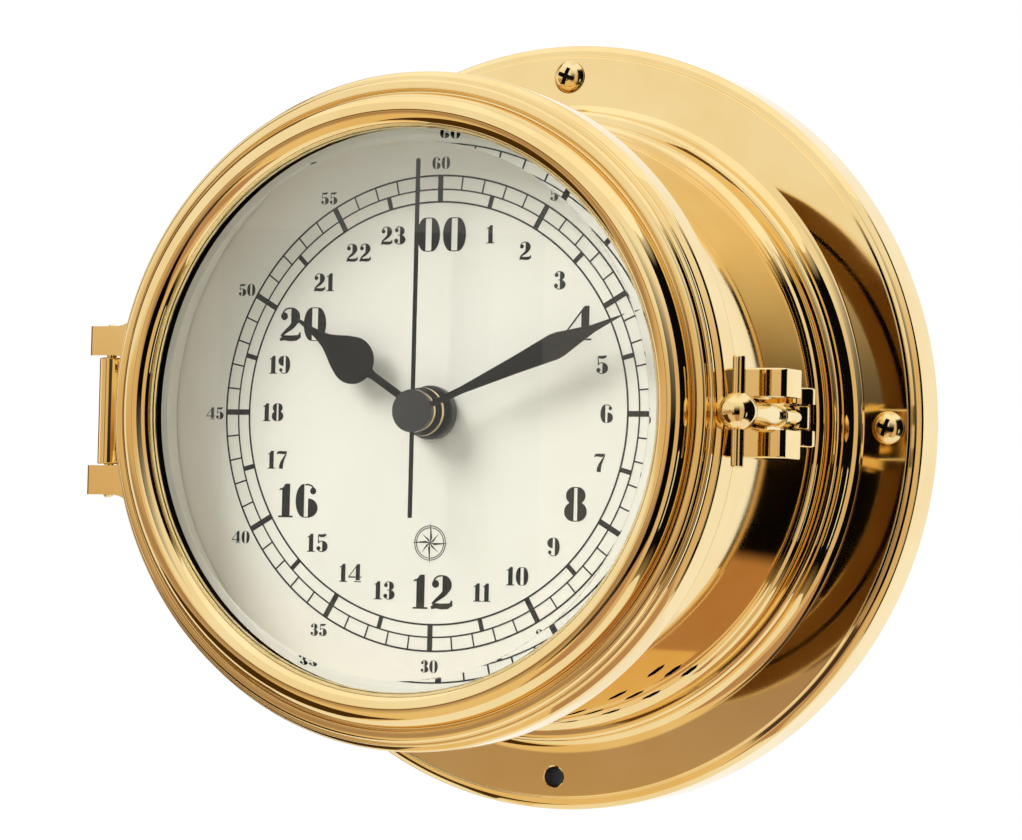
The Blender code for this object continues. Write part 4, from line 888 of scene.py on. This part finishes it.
def number(whole, text, x, y, cap):
    """Draws a number about a place on the dial."""
    widths = [FIGURES[digit][1] for digit in text]
    total = sum(widths) + DIGIT_GAP * (len(text) - 1)
    start = -total / 2
    for digit, width in zip(text, widths):
        made = bmesh.new()
        FIGURES[digit][0](made)
        size = Matrix.Scale(cap * MM, 4)
        place = Matrix.Translation(((x + cap * (start + width / 2)) * MM, 0.0,
                                    (y - cap / 2) * MM))
        bmesh.ops.transform(made, verts=made.verts, matrix=place @ size)
        pour(whole, ink_over(made))
        start += width + DIGIT_GAP


def stroke(bm, angle, inner, outer, width):
    """A printed bar that points at the dial's middle."""
    made = bmesh.ops.create_cube(bm, size=1.0)
    scale = Matrix.Diagonal((width * MM, INK * MM, (outer - inner) * MM, 1.0))
    out = Matrix.Translation((0.0, -(INK_H + INK / 2) * MM, (inner + outer) / 2 * MM))
    turn = Matrix.Rotation(math.radians(angle), 4, "Y")
    bmesh.ops.transform(bm, verts=made["verts"], matrix=turn @ out @ scale)


figures = bmesh.new()
spread = {1: 2.0, 23: -2.0, 11: -2.0, 13: 2.0}     # degrees by which these make room for 00 and 12
for hour in range(24):
    radius, cap = LARGE_FIGURES if hour % 4 == 0 else HOUR_FIGURES
    x, y = clock_point(radius, 15 * hour + spread.get(hour, 0.0))
    number(figures, "00" if hour == 0 else str(hour), x + HOURS_RIGHT, y, cap)
radius, cap = MINUTE_FIGURES
for minute in range(5, 65, 5):
    x, y = clock_point(radius, 6 * minute)
    number(figures, str(minute), x + PRINT_RIGHT, y - MINUTES_DOWN, cap)
move(figures, vec=at(0, 0, INK_H))
settle("dial_figures", figures, dial_ink, "case", "ivory_lacquer")

track = bmesh.new()
low, middle, high = TRACK
for radius, width in reversed(list(zip(TRACK, TRACK_LINES))):
    pour(track, turned([(radius - width / 2, INK_H), (radius + width / 2, INK_H),
                        (radius + width / 2, INK_H + INK), (radius - width / 2, INK_H + INK)], 180))
for minute in range(60):
    if minute % 5:
        stroke(track, 6 * minute, middle, high, TRACK_LINES[1])
    else:
        stroke(track, 6 * minute, low, high, LARGE_BAR)
for hour in range(1, 24, 2):
    stroke(track, 15 * hour, low, middle, HOUR_BAR)
move(track, vec=at(PRINT_RIGHT, 0, 0))
settle("minute_track", track, dial_ink, "case", "ivory_lacquer")

rose = bmesh.new()
ROSE_Y = -29.0
for point in range(8):
    reach, waist = (4.6, 1.2) if point % 2 == 0 else (2.9, 0.96)
    tip = clock_point(reach, 45 * point)
    hip = clock_point(waist, 45 * point + 22.5)
    ink_face(rose, [(0.0, 0.0), tip, hip])
bmesh.ops.scale(rose, verts=rose.verts, vec=(MM, MM, MM))
ink_over(rose)
for radius in (3.3, 3.75):
    pour(rose, turned([(radius, 0.0), (radius + 0.16, 0.0), (radius + 0.16, INK), (radius, INK)], 64))
move(rose, vec=at(0, ROSE_Y, INK_H))
settle("compass_rose", rose, dial_ink, "case", "ivory_lacquer")

# Camera at the photograph's angle, from the fit to its circles
VIEW_TURN = 25.8974   # degrees
VIEW_LIFT = -2.1826
VIEW_ROLL = 1.355
FIT_MM = 53.17        # unit of the next three lengths
AWAY, ASIDE, ABOVE = 20.8211, 0.314, -0.0284
FOCAL_PIXELS = 4957.23
PHOTO_WIDE = 1022
SENSOR_MM = 36.0
turn, lift, roll = (math.radians(value) for value in (VIEW_TURN, VIEW_LIFT, VIEW_ROLL))
back = Vector((math.sin(turn) * math.cos(lift), -math.cos(turn) * math.cos(lift), math.sin(lift)))
level = (-back).cross(Vector((0, 0, 1))).normalized()
over = level.cross(-back)
across = math.cos(roll) * level + math.sin(roll) * over
up = -math.sin(roll) * level + math.cos(roll) * over
eye_place = at(0, 0, DIAL_H) + (back * AWAY + across * ASIDE + up * ABOVE) * FIT_MM * MM
lens = bpy.data.cameras.new("camera")
lens.sensor_fit = "HORIZONTAL"
lens.sensor_width = SENSOR_MM
lens.lens = FOCAL_PIXELS * SENSOR_MM / PHOTO_WIDE
camera = bpy.data.objects.new("camera", lens)
facing = Matrix((across, up, back)).transposed().to_4x4()
camera.matrix_world = Matrix.Translation(eye_place) @ facing
bpy.context.scene.collection.objects.link(camera)
bpy.context.scene.camera = camera

# Studio in metres: pale floor, one large soft light over the camera's left, white surroundings, and
# cards for the metal to mirror
floor_bm = bmesh.new()
bmesh.ops.create_grid(floor_bm, x_segments=1, y_segments=1, size=1.6)
bmesh.ops.translate(floor_bm, verts=floor_bm.verts, vec=(0, 0, -0.30))
floor_mesh = bpy.data.meshes.new("floor")
floor_bm.to_mesh(floor_mesh)
floor_bm.free()
floor = bpy.data.objects.new("floor", floor_mesh)
bpy.context.scene.collection.objects.link(floor)
paper = bpy.data.materials.new("pale_paper")
paper.use_nodes = True
paper_shader = paper.node_tree.nodes["Principled BSDF"]
paper_shader.inputs["Base Color"].default_value = colour("F2F1EE")
paper_shader.inputs["Roughness"].default_value = 0.9
floor_mesh.materials.append(paper)
floor.visible_glossy = False


def lamp(name, place, target, size, power):
    """A large soft light that faces a place."""
    light = bpy.data.lights.new(name, "AREA")
    light.shape = "RECTANGLE"
    light.size, light.size_y = size
    light.energy = power
    item = bpy.data.objects.new(name, light)
    way = Vector(target) - Vector(place)
    item.matrix_world = Matrix.Translation(place) @ way.to_track_quat("-Z", "Y").to_matrix().to_4x4()
    bpy.context.scene.collection.objects.link(item)
    return item


def card(name, azimuth, tones, away=1.6, strength=1.0):
    """A card that only reflections see, its tones at heights in degrees.

    The azimuths are degrees from straight in front of the dial towards its right.
    """
    levels = [away * math.tan(math.radians(height)) for height, tone in tones]
    low, high = levels[0], levels[-1]
    bm = bmesh.new()
    bmesh.ops.create_grid(bm, x_segments=12, y_segments=1, size=0.5)
    for vert in bm.verts:
        turn = math.radians(azimuth[0] + (azimuth[1] - azimuth[0]) * (vert.co.x + 0.5))
        vert.co = (away * math.sin(turn), -away * math.cos(turn),
                   low + (high - low) * (vert.co.y + 0.5))
    mesh = bpy.data.meshes.new(name)
    bm.to_mesh(mesh)
    bm.free()
    material = bpy.data.materials.new(name)
    material.use_nodes = True
    tree = material.node_tree
    shader = tree.nodes["Principled BSDF"]
    shader.inputs["Base Color"].default_value = colour("000000")
    shader.inputs["Specular IOR Level"].default_value = 0.0
    shader.inputs["Emission Strength"].default_value = strength
    place = add(tree, "ShaderNodeTexCoord").outputs["Object"]
    height = add(tree, "ShaderNodeSeparateXYZ", {"Vector": place}).outputs["Z"]
    share = add(tree, "ShaderNodeMapRange", {"Value": height, "From Min": low, "From Max": high})
    stops = [((level - low) / (high - low), tone) for level, (angle, tone) in zip(levels, tones)]
    tree.links.new(ramp(tree, share.outputs["Result"], stops), shader.inputs["Emission Color"])
    mesh.materials.append(material)
    item = bpy.data.objects.new(name, mesh)
    item.visible_camera = False
    item.visible_shadow = False
    item.visible_diffuse = False
    item.visible_transmission = False
    bpy.context.scene.collection.objects.link(item)


key = lamp("key", (-0.9, -1.3, 1.1), (0, 0, 0), (0.9, 0.9), 27)
key.visible_glossy = False
key.visible_transmission = False
card("dark_room", (3, 34), [
    (-60, "BC977F"), (-23, "C39F87"), (-21, "08080A"), (0, "0A0A0C"), (10, "7F7E84"), (30, "FFFFFF")])
card("tan_room", (34, 58), [(-60, "E3CCAC"), (12, "E3CCAC"), (32, "FFFFFF")])
card("dark_floor", (-10, 3), [(-24, "5A4C46"), (-20, "4A3E3A"), (-12, "4A3E3A")], 1.5)
card("left_room", (-75, 3), [
    (-60, "F2DAAE"), (-22, "F2DAAE"), (-9, "B39880"), (-5, "B39880"), (0, "E0C6A2"), (5, "EAD9BE"),
    (9, "FFFFFF"), (14, "FFFFFF")])
card("brown_door", (-80, -40), [(-55, "4A3416"), (-16, "4A3416")], 1.5)
card("dim_corner", (-29.1, -22.8), [(-1.6, "7C6244"), (5.6, "7C6244")], 1.5)
card("black_flag", (58, 138), [
    (-42, "A08E74"), (-33, "0C0B0C"), (40, "0C0B0C"), (48, "E6E0D4")])
card("window", (70, 76.5), [(-28, "DDE8FF"), (-8, "F4F8FF")], 1.3)
card("left_gap", (-140, -98), [(-40, "7A5A34"), (44, "7A5A34")])
card("backdrop", (140, 262), [(-25, "F8FBFF"), (70, "F8FBFF")], 1.8, 1.12)
card("ceiling", (-98, 140), [(46, "F6F9FF"), (80, "F6F9FF")], 1.8, 1.25)

# The camera, metal and glass see a white world, and the rest is lit by a dimmer, warmer one
world = bpy.data.worlds.new("studio")
bpy.context.scene.world = world
world.use_nodes = True
sky = world.node_tree
sky.nodes.clear()
path = add(sky, "ShaderNodeLightPath")
seen = add(sky, "ShaderNodeMath", {0: path.outputs["Is Camera Ray"],
                                   1: path.outputs["Is Glossy Ray"]}, operation="MAXIMUM")
seen = add(sky, "ShaderNodeMath", {0: seen.outputs[0],
                                   1: path.outputs["Is Transmission Ray"]}, operation="MAXIMUM")
white = add(sky, "ShaderNodeBackground", {"Color": colour("FFFFFF"), "Strength": 1.0})
soft = add(sky, "ShaderNodeBackground", {"Color": colour("FFFAF0"), "Strength": 0.55})
mixed = add(sky, "ShaderNodeMixShader", {0: seen.outputs[0], 1: soft.outputs[0],
                                         2: white.outputs[0]})
add(sky, "ShaderNodeOutputWorld", {"Surface": mixed.outputs[0]})

bpy.context.scene.view_settings.view_transform = "Standard"
